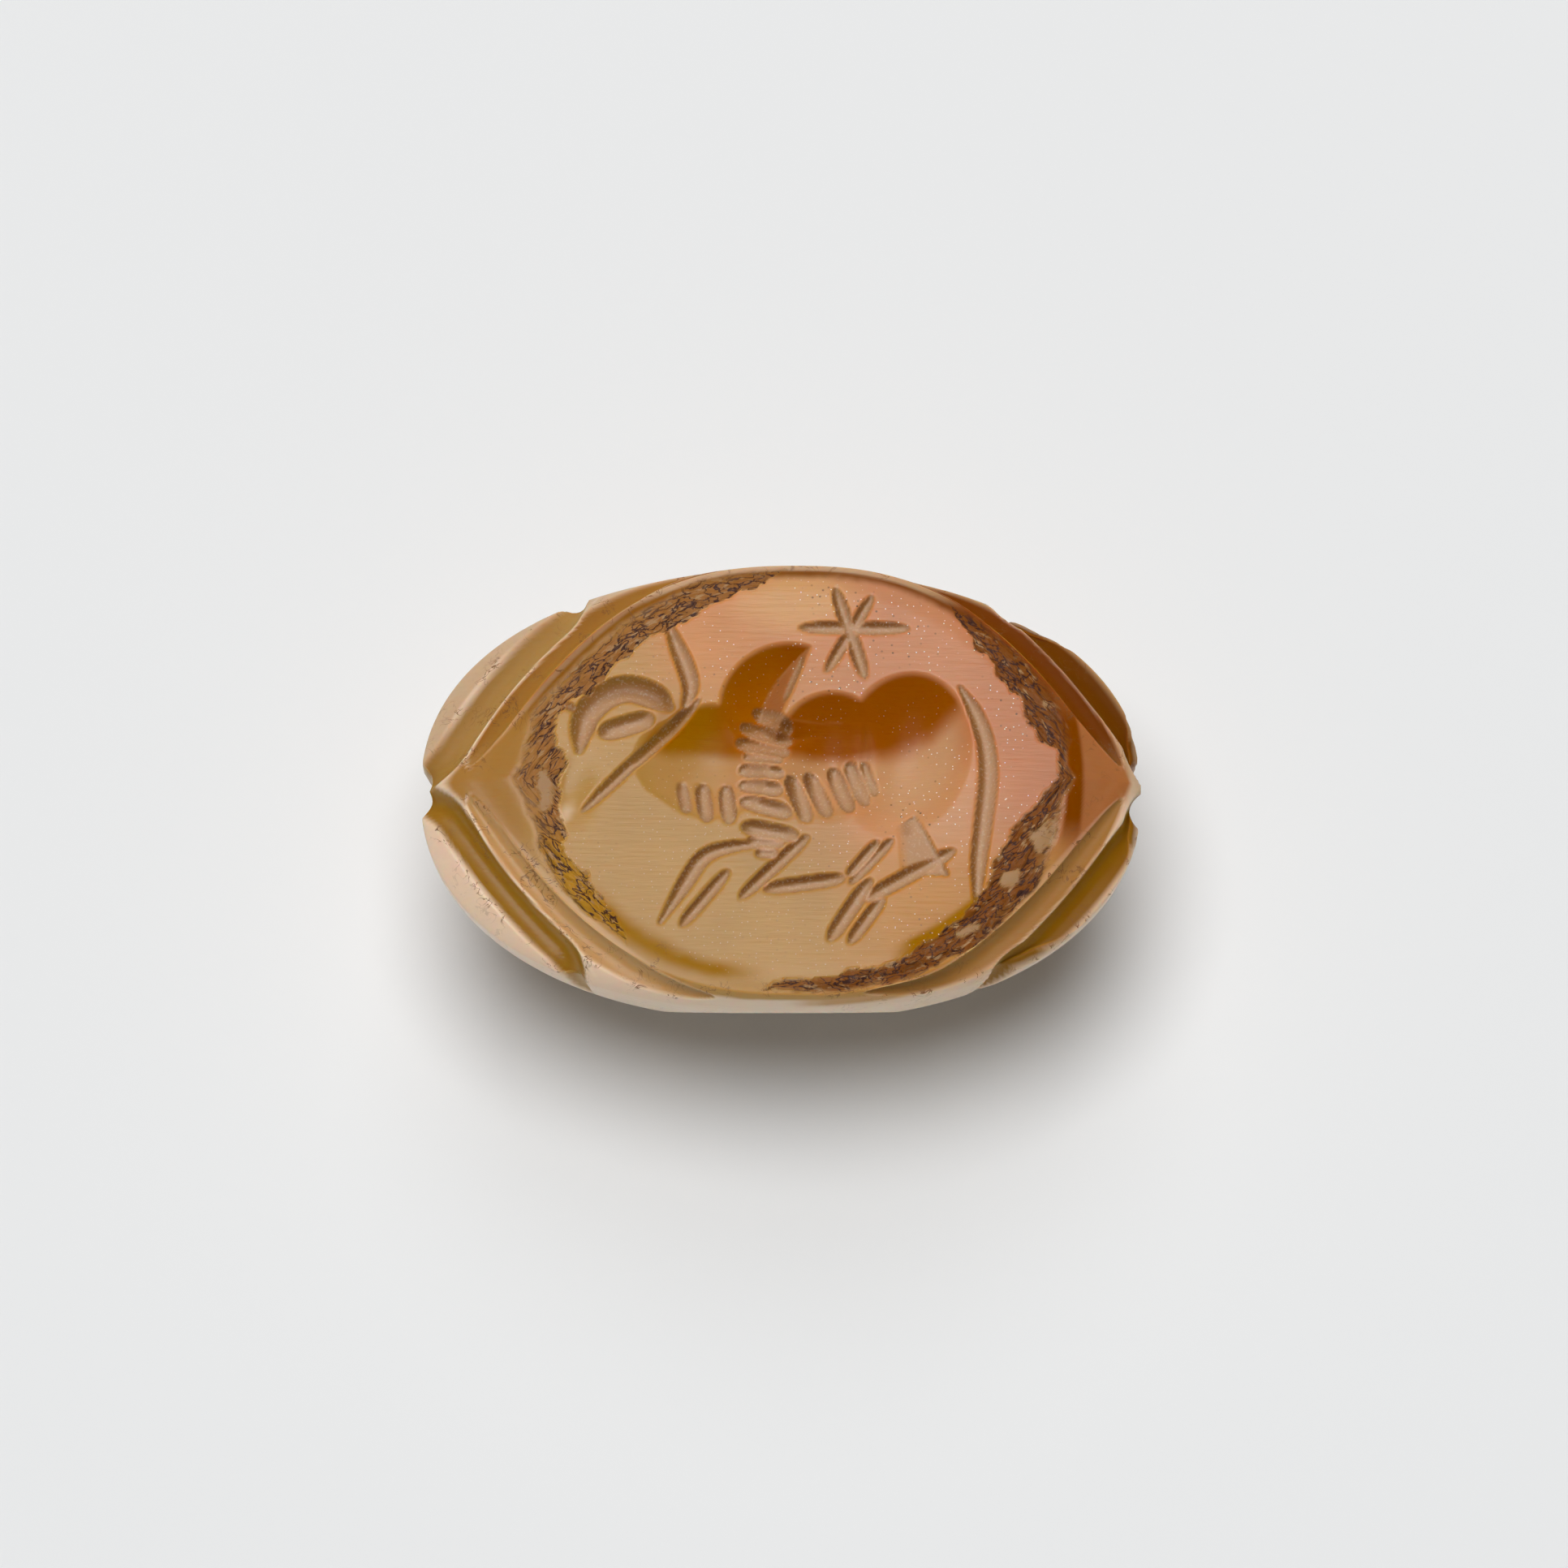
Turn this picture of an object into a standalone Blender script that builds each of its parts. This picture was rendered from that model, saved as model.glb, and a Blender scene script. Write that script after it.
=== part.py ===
"""Ellipsoid stamp seal: one chalcedony stone with an engraved face, crescent grooves and a string hole.

The stone lies on a small flat on its curved back, sealing face up. X runs along the face, Y across it,
Z is up, and the origin is in the middle of the resting flat.
"""

import math

import bmesh
import bpy
import numpy as np
from mathutils import Matrix, Vector

MM = 0.001

# Sealing face: a pointed oval, level and flat
FACE_LENGTH = 18.8 * MM
FACE_WIDTH = 13.3 * MM
FACE_OFF_CENTRE = 0.4 * MM
FACE_POINT_POWER = 2.5

# Body: it swells from the face to its girth, then rounds in to the back
END_SWELL = 1.15 * MM
SIDE_SWELL = 0.15 * MM
GIRTH_DEPTH = 1.15 * MM
BACK_DEPTH = 7.2 * MM
REST_CUT = 0.3 * MM
SHOULDER_POWER = 1.5
GIRTH_POWER = 2.2
BACK_POWER = 1.8

# String hole, with a flat ground on the side of the stone round each mouth
HOLE_DIAMETER = 3.0 * MM
HOLE_DROP = 4.2 * MM
SIDE_FLAT_CUT = 0.22 * MM
SIDE_FLAT_TILT = math.radians(20.5)

# Crescent grooves, two in each quarter of the shoulder. Each follows a pointed oval set out from the face's
# edge, between two turns in degrees from the stone's end. The outer one also runs down over the girth at both
# ends: the run-offs give the turn where that starts and how fast it goes. A fade is the power of the taper at
# a groove's end
INNER_GROOVE_RADIUS = 0.34 * MM
INNER_GROOVE_SET_OUT = (0.27 * MM, 0.27 * MM)
INNER_GROOVE_TURN = (3.0, 72.0)
INNER_GROOVE_LOWEST = 0.75
OUTER_GROOVE_RADIUS = 0.45 * MM
OUTER_GROOVE_SET_OUT = (1.25 * MM, 1.05 * MM)
OUTER_GROOVE_TURN = (-2.5, 51.0)
OUTER_GROOVE_LOWEST = 0.92
END_RUN_OFF = (6.0, 0.003)
SIDE_RUN_OFF = (35.0, 0.0014)
INNER_GROOVE_FADES = (6, 4)
OUTER_GROOVE_FADE = 8
LEAST_GROOVE = 0.02

# Mesh fineness
COLUMNS = 96
SHOULDER_ROWS = 6
BACK_ROWS = 9
HOLE_SIDES = 32
HOLLOW_SIDES = 12
HOLLOW_RINGS = 8
GROOVE_POINTS = 15
TUBE_RESOLUTION = 2
MERGE_DISTANCE = 0.002 * MM
HALVINGS = 40

STONE_COLOUR = (0.48, 0.27, 0.12, 1.0)
STONE_ROUGHNESS = 0.32

# Worked out from the sizes above
HALF_FACE_LENGTH = FACE_LENGTH / 2
HALF_FACE_WIDTH = FACE_WIDTH / 2
HALF_LENGTH = HALF_FACE_LENGTH + END_SWELL
HALF_WIDTH = HALF_FACE_WIDTH + SIDE_SWELL
FACE_HEIGHT = GIRTH_DEPTH + BACK_DEPTH - REST_CUT
HOLE_HEIGHT = FACE_HEIGHT - HOLE_DROP
CLEAR = max(HALF_LENGTH, HALF_WIDTH, FACE_HEIGHT)

# The figure's places are tenths of a millimetre from the middle of a face of this size, so it grows with the
# face. Its depths are tenths of a millimetre below the face
DRAWN_FACE_LENGTH = 188
DRAWN_FACE_WIDTH = 133
ALONG = FACE_LENGTH / DRAWN_FACE_LENGTH
ACROSS = FACE_WIDTH / DRAWN_FACE_WIDTH

# Ball-drilled hollows: x, y, half length, half width, turn in degrees, depth
HOLLOWS = {
    "rump": (34, 19.5, 12.5, 11.5, 0, 9),
    "back": (15, 14, 21, 12, 4, 9),
    "belly": (26, 3, 26, 22, 12, 5),
    "neck": (-24, 14, 9, 9, 0, 6.5),
    "chest": (-27, 2, 20, 11, -24, 4),
    "hump": (-8.5, 30, 16, 9.5, 43, 8),
    "muzzle": (-61, -3, 13, 8.5, 70, 2.5),
    "cheek": (-49.2, 15.6, 9, 3.6, 16, 5),
    "thigh": (34, -17, 8, 3.5, -62, 3.5),
}

# Straight wheel cuts: start x, y, end x, y, width, depth
WHEEL_CUTS = {
    "star": (
        (0.7, 46.8, 33.8, 46.5, 4.3, 3),
        (11.8, 59.1, 20.6, 30.7, 4.0, 3.5),
        (22.5, 56.9, 9.2, 33, 3.6, 3),
    ),
    "throat": ((-27.9, 24.4, -62.4, -10.6, 3.8, 4.5),),
    "hump_edge": ((3.1, 40.5, -3.5, 21, 3.6, 6),),
    "ear": ((-69, 23.9, -63.8, 20.9, 3, 2),),
    "fore_leg": (
        (4, -17.6, -16.5, -37.5, 4.3, 4),
        (-9.7, -34.5, 14.9, -30.9, 4.7, 3.5),
        (-19.1, -28.2, -33.6, -46, 4, 3),
    ),
    "hind_leg": (
        (14.9, -30.7, 24.3, -19.4, 3.5, 3),
        (15.6, -33, 28.6, -18.6, 3.5, 3),
        (23.2, -29.5, 9.5, -50.6, 4.8, 3.5),
        (26.5, -35.5, 15.4, -51.3, 4.2, 3),
        (19.4, -38, 46.8, -22.1, 5, 4),
    ),
}

# Rows of short cuts: number, first cut's start and end, the step of each end to the next cut, width, depth
CUT_ROWS = {
    "rib": (5, (-1.7, 1.3), (4, -13.8), (5.3, 1.4), (4.8, 2.1), 4.1, 7),
    "chest_rib": (3, (-34.3, 1.3), (-31.2, -12.3), (6.8, -0.7), (6.2, -0.9), 3.8, 5),
    "shoulder_rung": (8, (-15.5, 20), (-2, 14), (0, -4.9), (0.2, -4.7), 4.2, 6.5),
    "shank_rung": (3, (-11.8, -19.6), (-4, -21), (-0.2, -3), (-0.5, -2.6), 3.8, 4),
}

# Curved cuts: depth, then the points it passes through as x, y and width
CURVED_CUTS = {
    "head": (
        5.5,
        (-36.5, 22, 2), (-41.5, 26, 5), (-49, 27.2, 7), (-56, 25, 8),
        (-61, 20, 8), (-62.8, 14, 6), (-62.5, 8.5, 2),
    ),
    "horn": (4, (-37, 47.5, 2), (-35, 42, 4.5), (-32.2, 35, 5.5), (-30.6, 28.5, 5), (-32, 22.6, 2.5)),
    "tail": (
        3.5,
        (48.2, 28, 1.5), (52.4, 20.5, 4), (55.6, 11, 4.6), (56.6, 0, 4.8),
        (55.2, -13, 4.5), (53.7, -26, 4.2), (52.9, -38, 1.8),
    ),
    "fore_shank": (
        4,
        (-10.5, -20.5, 2.5), (-19, -21.4, 4), (-26.4, -24.4, 5), (-32, -32.5, 5), (-39.2, -44.5, 1.8),
    ),
}


def clear_scene():
    for thing in list(bpy.data.objects):
        bpy.data.objects.remove(thing)


def new_collection(name, parent):
    made = bpy.data.collections.new(name)
    parent.children.link(made)
    return made


def pointed_oval_radius(angle, half_length, half_width):
    """Distance from the centre, at an angle, of y = half width * (1 - |x / half length| ** power)."""
    along = np.abs(np.cos(angle)) / half_length
    across = np.abs(np.sin(angle)) / half_width
    low = np.zeros_like(angle)
    high = np.full_like(angle, max(half_length, half_width))
    for _ in range(HALVINGS):
        middle = (low + high) / 2
        outside = across * middle + (along * middle) ** FACE_POINT_POWER > 1
        low = np.where(outside, low, middle)
        high = np.where(outside, middle, high)
    return middle


def girth_radius(angle):
    """Distance from the centre, at an angle, of the girth, a little fuller than a true ellipse."""
    along = np.abs(np.cos(angle)) / HALF_LENGTH
    across = np.abs(np.sin(angle)) / HALF_WIDTH
    return (along**GIRTH_POWER + across**GIRTH_POWER) ** (-1 / GIRTH_POWER)


def edge_and_girth(angle):
    """Where a ray from the middle meets the face's edge and the girth, in plan."""
    ray = np.stack([np.cos(angle), np.sin(angle)], -1)
    edge = pointed_oval_radius(angle, HALF_FACE_LENGTH, HALF_FACE_WIDTH)[..., None] * ray
    return edge + (FACE_OFF_CENTRE, 0), girth_radius(angle)[..., None] * ray


def stone_point(angle, level):
    """Point of the uncarved stone. Level 0 is the face's edge, 1 the girth and 2 the middle of the back.

    Past the girth the plan shrinks as cos(turn) ** (2 / power) and the drop grows as sin(turn) ** (2 / power).
    """
    angle, level = np.broadcast_arrays(np.asarray(angle, float), np.asarray(level, float))
    edge, girth = edge_and_girth(angle)
    share = np.clip(level, 0, 1)[..., None]
    turn = np.clip(level - 1, 0, 1)[..., None] * math.pi / 2
    plan = (edge + (girth - edge) * share) * np.clip(np.cos(turn), 0, 1) ** (2 / BACK_POWER)
    drop = GIRTH_DEPTH * (1 - (1 - share) ** (1 / SHOULDER_POWER))
    drop = drop + BACK_DEPTH * np.sin(turn) ** (2 / BACK_POWER)
    return np.concatenate([plan, FACE_HEIGHT - drop], -1)


def make_material(name, colour, roughness):
    made = bpy.data.materials.new(name)
    made.use_nodes = True
    shader = made.node_tree.nodes["Principled BSDF"]
    shader.inputs["Base Color"].default_value = colour
    shader.inputs["Roughness"].default_value = roughness
    shader.inputs["Metallic"].default_value = 0.0
    return made


def add_object(name, bm, collection):
    bmesh.ops.recalc_face_normals(bm, faces=bm.faces)
    mesh = bpy.data.meshes.new(name)
    bm.to_mesh(mesh)
    bm.free()
    made = bpy.data.objects.new(name, mesh)
    collection.objects.link(made)
    return made


def make_body(collection):
    """Loft of the uncarved stone: rings from the face's edge, over the girth, to the resting flat."""
    angles = np.arange(COLUMNS) * 2 * math.pi / COLUMNS
    shoulder = np.sin(np.arange(SHOULDER_ROWS) / SHOULDER_ROWS * math.pi / 2)
    last = math.asin((1 - REST_CUT / BACK_DEPTH) ** (BACK_POWER / 2)) / (math.pi / 2)
    levels = np.concatenate([shoulder, 1 + np.linspace(0, last, BACK_ROWS + 1)])
    bm = bmesh.new()
    rings = [[bm.verts.new(point) for point in stone_point(angles, level)] for level in levels]
    for upper, lower in zip(rings, rings[1:]):
        for i in range(COLUMNS):
            j = (i + 1) % COLUMNS
            bm.faces.new((upper[i], upper[j], lower[j], lower[i]))
    bm.faces.new(rings[0])
    bm.faces.new(rings[-1])
    return add_object("seal_stone", bm, collection)


def make_side_flat(side, collection):
    """A block whose inner face is the flat ground round one mouth of the string hole."""
    at_hole = HALF_WIDTH * (1 - ((HOLE_DROP - GIRTH_DEPTH) / BACK_DEPTH) ** BACK_POWER) ** (1 / BACK_POWER)
    outward = Vector((0, side * math.cos(SIDE_FLAT_TILT), -math.sin(SIDE_FLAT_TILT)))
    place = Vector((0, side * (at_hole - SIDE_FLAT_CUT), HOLE_HEIGHT)) + outward * CLEAR
    matrix = Matrix.Translation(place) @ Matrix.Rotation(-side * SIDE_FLAT_TILT, 4, "X")
    bm = bmesh.new()
    bmesh.ops.create_cube(bm, size=2 * CLEAR, matrix=matrix)
    return add_object(f"cut_side_flat_{'back' if side > 0 else 'front'}", bm, collection)


def make_string_hole(collection):
    """A drill through the stone from side to side."""
    radius = HOLE_DIAMETER / 2
    bm = bmesh.new()
    bmesh.ops.create_cone(
        bm,
        cap_ends=True,
        segments=HOLE_SIDES,
        radius1=radius,
        radius2=radius,
        depth=2 * CLEAR,
        matrix=Matrix.Translation((0, 0, HOLE_HEIGHT)) @ Matrix.Rotation(math.pi / 2, 4, "X"),
    )
    return add_object("cut_string_hole", bm, collection)


def tube_mesh(name, points, radii):
    """Closed tube through the points, made as a bevelled curve and then turned into a mesh."""
    curve = bpy.data.curves.new(name, "CURVE")
    curve.dimensions = "3D"
    curve.bevel_depth = 1.0
    curve.bevel_resolution = TUBE_RESOLUTION
    curve.use_fill_caps = True
    spline = curve.splines.new("POLY")
    spline.points.add(len(points) - 1)
    for knot, point, radius in zip(spline.points, points, radii):
        knot.co = (*point, 1)
        knot.radius = radius
    guide = bpy.data.objects.new(name, curve)
    bpy.context.scene.collection.objects.link(guide)
    mesh = bpy.data.meshes.new_from_object(guide.evaluated_get(bpy.context.evaluated_depsgraph_get()))
    bpy.data.objects.remove(guide)
    bm = bmesh.new()
    bm.from_mesh(mesh)
    bpy.data.meshes.remove(mesh)
    bmesh.ops.remove_doubles(bm, verts=bm.verts, dist=MERGE_DISTANCE)
    return bm


def groove_line(set_out, turn, lowest, quarter):
    """Turns, polar angles and levels of points along a pointed oval in one quarter of the shoulder."""
    swing = np.linspace(turn[0], turn[1], GROOVE_POINTS)
    angle = np.arctan2(quarter[1] * np.sin(np.radians(swing)), quarter[0] * np.cos(np.radians(swing)))
    edge, girth = edge_and_girth(angle)
    reach = pointed_oval_radius(angle, HALF_FACE_LENGTH + set_out[0], HALF_FACE_WIDTH + set_out[1])
    line = reach[:, None] * np.stack([np.cos(angle), np.sin(angle)], -1) + (FACE_OFF_CENTRE, 0)
    level = ((line - edge) * (girth - edge)).sum(-1) / ((girth - edge) ** 2).sum(-1)
    return swing, angle, np.minimum(level, lowest)


def make_inner_groove(name, quarter, collection):
    """A crescent that starts and ends in points, just outside the face's edge."""
    swing, angle, level = groove_line(INNER_GROOVE_SET_OUT, INNER_GROOVE_TURN, INNER_GROOVE_LOWEST, quarter)
    share = (swing - swing[0]) / (swing[-1] - swing[0])
    first, last = INNER_GROOVE_FADES
    taper = np.sqrt(np.maximum((1 - share**last) * (1 - (1 - share) ** first), LEAST_GROOVE))
    bm = tube_mesh(name, stone_point(angle, level), INNER_GROOVE_RADIUS * taper)
    return add_object(name, bm, collection)


def make_outer_groove(name, quarter, collection):
    """A crescent that runs down over the girth, at the stone's end and at its side."""
    swing, angle, level = groove_line(OUTER_GROOVE_SET_OUT, OUTER_GROOVE_TURN, OUTER_GROOVE_LOWEST, quarter)
    level = level + END_RUN_OFF[1] * np.maximum(END_RUN_OFF[0] - swing, 0) ** 2
    level = level + SIDE_RUN_OFF[1] * np.maximum(swing - SIDE_RUN_OFF[0], 0) ** 2
    share = (swing - swing[0]) / (swing[-1] - swing[0])
    taper = np.sqrt(np.maximum(1 - share**OUTER_GROOVE_FADE, LEAST_GROOVE))
    bm = tube_mesh(name, stone_point(angle, level), OUTER_GROOVE_RADIUS * taper)
    return add_object(name, bm, collection)


def face_point(x, y, depth):
    """A place on the figure, in metres."""
    return Vector((FACE_OFF_CENTRE + x * ALONG, y * ACROSS, FACE_HEIGHT - depth * ALONG))


def make_hollow(name, x, y, half_length, half_width, turn, depth, collection):
    """Rounded cut: the lower half of a stretched sphere, carried up past the face."""
    bm = bmesh.new()
    bmesh.ops.create_uvsphere(bm, u_segments=HOLLOW_SIDES, v_segments=HOLLOW_RINGS, radius=1)
    stretch = Matrix.Diagonal((half_length * ALONG, half_width * ALONG, depth * ALONG, 1))
    matrix = Matrix.Translation(face_point(x, y, 0)) @ Matrix.Rotation(math.radians(turn), 4, "Z") @ stretch
    bmesh.ops.transform(bm, matrix=matrix, verts=bm.verts)
    return add_object(name, bm, collection)


def make_wheel_cut(name, start, end, width, depth, collection):
    """Boat-shaped cut between two points, the mark that the edge of a small wheel leaves."""
    x, y = (start[0] + end[0]) / 2, (start[1] + end[1]) / 2
    half_length = math.dist(start, end) / 2
    turn = math.degrees(math.atan2(end[1] - start[1], end[0] - start[0]))
    return make_hollow(name, x, y, half_length, width / 2, turn, depth, collection)


def make_cut_row(name, row, collection):
    """A row of short cuts, each a step on from the one before."""
    count, start, end, start_step, end_step, width, depth = row
    for i in range(count):
        a = (start[0] + i * start_step[0], start[1] + i * start_step[1])
        b = (end[0] + i * end_step[0], end[1] + i * end_step[1])
        make_wheel_cut(f"{name}_{i + 1}", a, b, width, depth, collection)


def make_curved_cut(name, depth, points, collection):
    """A curved cut: a tube lying in the face along the points, stretched downwards to the cut's depth."""
    places = [face_point(x, y, 0) for x, y, _ in points]
    radii = [width / 2 * ALONG for _, _, width in points]
    bm = tube_mesh(name, places, radii)
    deeper = depth * ALONG / max(radii)
    for vert in bm.verts:
        vert.co.z = FACE_HEIGHT + (vert.co.z - FACE_HEIGHT) * deeper
    return add_object(name, bm, collection)


def engrave(collection):
    """Every cut of the humped bull and the star above it."""
    for name, hollow in HOLLOWS.items():
        make_hollow(f"cut_{name}", *hollow, collection)
    for name, cuts in WHEEL_CUTS.items():
        for i, (x0, y0, x1, y1, width, depth) in enumerate(cuts):
            make_wheel_cut(f"cut_{name}_{i + 1}", (x0, y0), (x1, y1), width, depth, collection)
    for name, row in CUT_ROWS.items():
        make_cut_row(f"cut_{name}", row, collection)
    for name, (depth, *points) in CURVED_CUTS.items():
        make_curved_cut(f"cut_{name}", depth, points, collection)


def cut_with(stone, name, collection, solver="EXACT"):
    """Takes every cutter of the collection out of the stone."""
    for cutter in collection.objects:
        cutter.hide_render = True
        cutter.display_type = "WIRE"
    modifier = stone.modifiers.new(name, "BOOLEAN")
    modifier.operation = "DIFFERENCE"
    modifier.operand_type = "COLLECTION"
    modifier.collection = collection
    modifier.solver = solver


def main():
    clear_scene()
    scene_collection = bpy.context.scene.collection
    seal = new_collection("stamp_seal", scene_collection)
    cutters = new_collection("cutters", scene_collection)
    shaping = new_collection("shaping_cutters", cutters)
    grooving = new_collection("groove_cutters", cutters)
    engraving = new_collection("engraving_cutters", cutters)

    stone = make_body(seal)
    stone.data.materials.append(make_material("chalcedony", STONE_COLOUR, STONE_ROUGHNESS))
    for side in (-1, 1):
        make_side_flat(side, shaping)
    make_string_hole(shaping)
    for x_side in (-1, 1):
        for y_side in (-1, 1):
            place = f"{'left' if x_side < 0 else 'right'}_{'front' if y_side < 0 else 'back'}"
            make_inner_groove(f"cut_inner_groove_{place}", (x_side, y_side), grooving)
            make_outer_groove(f"cut_outer_groove_{place}", (x_side, y_side), grooving)
    engrave(engraving)
    cut_with(stone, "Side flats and string hole", shaping)
    cut_with(stone, "Crescent grooves", grooving)
    # The exact solver leaves open edges where so many cuts cross
    cut_with(stone, "Engraving", engraving, "MANIFOLD")


main()
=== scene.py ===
# %% [markdown]
# A stamp seal is a small stone that was pressed into wet clay to sign it. This one is chalcedony, a
# translucent quartz, about as long as a thumb is wide. The top is a level face with a humped bull and a star
# cut into it, the shoulder has crescent grooves all round, and the back is smooth.
#
# The lesson starts with the solid that the part was built from. It fixes the stone's place and size, and
# every number below is in millimetres, so one constant takes them to Blender's metres.

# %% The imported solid
import functools
import itertools
import math

import bpy
import numpy as np
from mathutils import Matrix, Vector


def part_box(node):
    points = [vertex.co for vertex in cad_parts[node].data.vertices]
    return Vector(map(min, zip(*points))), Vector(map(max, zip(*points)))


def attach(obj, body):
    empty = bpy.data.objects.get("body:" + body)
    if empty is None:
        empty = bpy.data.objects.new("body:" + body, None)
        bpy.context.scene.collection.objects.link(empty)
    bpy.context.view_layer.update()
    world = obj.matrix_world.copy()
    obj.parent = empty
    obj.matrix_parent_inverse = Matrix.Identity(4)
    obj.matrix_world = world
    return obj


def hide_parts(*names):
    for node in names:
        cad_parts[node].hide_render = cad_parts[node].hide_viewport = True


MM = 0.001

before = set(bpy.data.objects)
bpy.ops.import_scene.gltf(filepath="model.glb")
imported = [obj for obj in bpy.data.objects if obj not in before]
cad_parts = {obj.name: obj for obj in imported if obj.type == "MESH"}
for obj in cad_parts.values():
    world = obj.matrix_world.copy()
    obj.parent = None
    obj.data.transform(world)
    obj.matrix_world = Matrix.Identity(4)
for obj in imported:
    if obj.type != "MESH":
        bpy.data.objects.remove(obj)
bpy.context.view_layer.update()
LOWEST, HIGHEST = (np.array(corner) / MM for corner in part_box("seal_stone"))
print("solid, lowest and highest corner in mm:", LOWEST.round(2), HIGHEST.round(2))

# %% [markdown]
# The stone's outline comes from two curves. The face's edge is a pointed oval, and the girth, the widest
# line round the stone, is a little fuller than an ellipse. The width and the height are read from the solid.
# The length isn't, because the grooves nip the solid's ends. It is the face's length and a swell at each end.

# %% Sizes of the stone
FACE_LENGTH = 18.8
FACE_WIDTH = 13.3
FACE_OFF_CENTRE = 0.4
FACE_POINT_POWER = 2.5
END_SWELL = 1.15
GIRTH_DEPTH = 1.15
REST_CUT = 0.3
SHOULDER_POWER = 1.5
GIRTH_POWER = 2.2
BACK_POWER = 1.8

FACE_HEIGHT = HIGHEST[2]
BACK_DEPTH = FACE_HEIGHT - GIRTH_DEPTH + REST_CUT
HALF_LENGTH = FACE_LENGTH / 2 + END_SWELL
HALF_WIDTH = (HIGHEST[1] - LOWEST[1]) / 2
HALF_FACE = np.array([FACE_LENGTH, FACE_WIDTH]) / 2
print("half length, half width and height of the uncarved stone:", HALF_LENGTH, HALF_WIDTH, FACE_HEIGHT)

# %% [markdown]
# The camera comes first, so that every later step can be looked at through it. The photograph looks down on
# the stone from the front at about 70 degrees, through a long lens that hardly narrows with distance. The
# frame is square and 45.7 mm wide at the face, which sets the focal length.

# %% Camera
CAMERA_ELEVATION = math.radians(70)
CAMERA_DISTANCE = 400.0
FRAME_WIDTH = 45.67
LOOKED_AT = Vector((0.07, -0.2, FACE_HEIGHT))

camera = bpy.data.objects.new("camera", bpy.data.cameras.new("camera"))
bpy.context.scene.collection.objects.link(camera)
bpy.context.scene.camera = camera
towards_camera = Vector((0, -math.cos(CAMERA_ELEVATION), math.sin(CAMERA_ELEVATION)))
camera.location = (LOOKED_AT + towards_camera * CAMERA_DISTANCE) * MM
camera.rotation_euler = (math.pi / 2 - CAMERA_ELEVATION, 0, 0)
camera.data.sensor_width = 36
camera.data.lens = camera.data.sensor_width * CAMERA_DISTANCE / FRAME_WIDTH
camera.data.clip_start = 0.01
print("focal length in mm:", round(camera.data.lens))

# %% [markdown]
# Chalcedony shows its colour where it doesn't mirror a lamp. One broad lamp hangs overhead and a little
# behind the stone, so that the level face has a soft sheen, and walls that lean towards the viewer mirror
# the dark room and show deep amber. A weaker lamp further back lights up the slopes that lean away.

# %% Lamps
LAMP_DISTANCE = 1500.0
OVERHEAD_LAMP = {"lean_back": 6, "lean_left": 4, "size": 1080, "watts": 19.1}
BACK_LAMP = {"lean_back": 42, "lean_left": 0, "size": 900, "watts": 4.5}


def add_lamp(name, lean_back, lean_left, size, watts):
    """A round lamp that faces the stone, leaning back from overhead by some degrees and left by others."""
    lamp = bpy.data.lights.new(name, "AREA")
    lamp.shape = "DISK"
    lamp.size = size * MM
    lamp.energy = watts
    made = bpy.data.objects.new(name, lamp)
    lean_back, lean_left = math.radians(lean_back), math.radians(lean_left)
    direction = Vector((-math.tan(lean_left), math.tan(lean_back), 1)).normalized()
    made.location = direction * LAMP_DISTANCE * MM
    made.rotation_euler = direction.to_track_quat("Z", "Y").to_euler()
    bpy.context.scene.collection.objects.link(made)


add_lamp("overhead_lamp", **OVERHEAD_LAMP)
add_lamp("back_lamp", **BACK_LAMP)
print("lamps:", [lamp.name for lamp in bpy.data.lights])

# %% [markdown]
# The room is dark, but a low band of cool light round its horizon fills the stone's sides. The world's
# colour and the stone's material are both built of nodes, so a helper that adds a node comes first. The
# standard view transform keeps colours as they are.

# %% The room
ROOM_GREY = 0.02
HORIZON_GREY = 1.6
HORIZON_TINT = (0.74, 0.92, 1.0, 1)
HORIZON_BAND = (0.05, 0.34)
BEHIND = (0.1, 0.6)
BEHIND_SHARE = 0.05


def node_maker(tree):
    """Returns a function that adds a node, sets its values and links or fills its inputs.

    An input is named by its socket, or by its number after the letter i where several have one name.
    """

    def add(kind, settings=None, **inputs):
        made = tree.nodes.new(kind)
        for key, value in (settings or {}).items():
            setattr(made, key, value)
        for key, value in inputs.items():
            numbered = key[0] == "i" and key[1:].isdigit()
            socket = made.inputs[int(key[1:])] if numbered else made.inputs[key.replace("_", " ")]
            if isinstance(value, bpy.types.NodeSocket):
                tree.links.new(value, socket)
            else:
                socket.default_value = value
        return made

    return add


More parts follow.
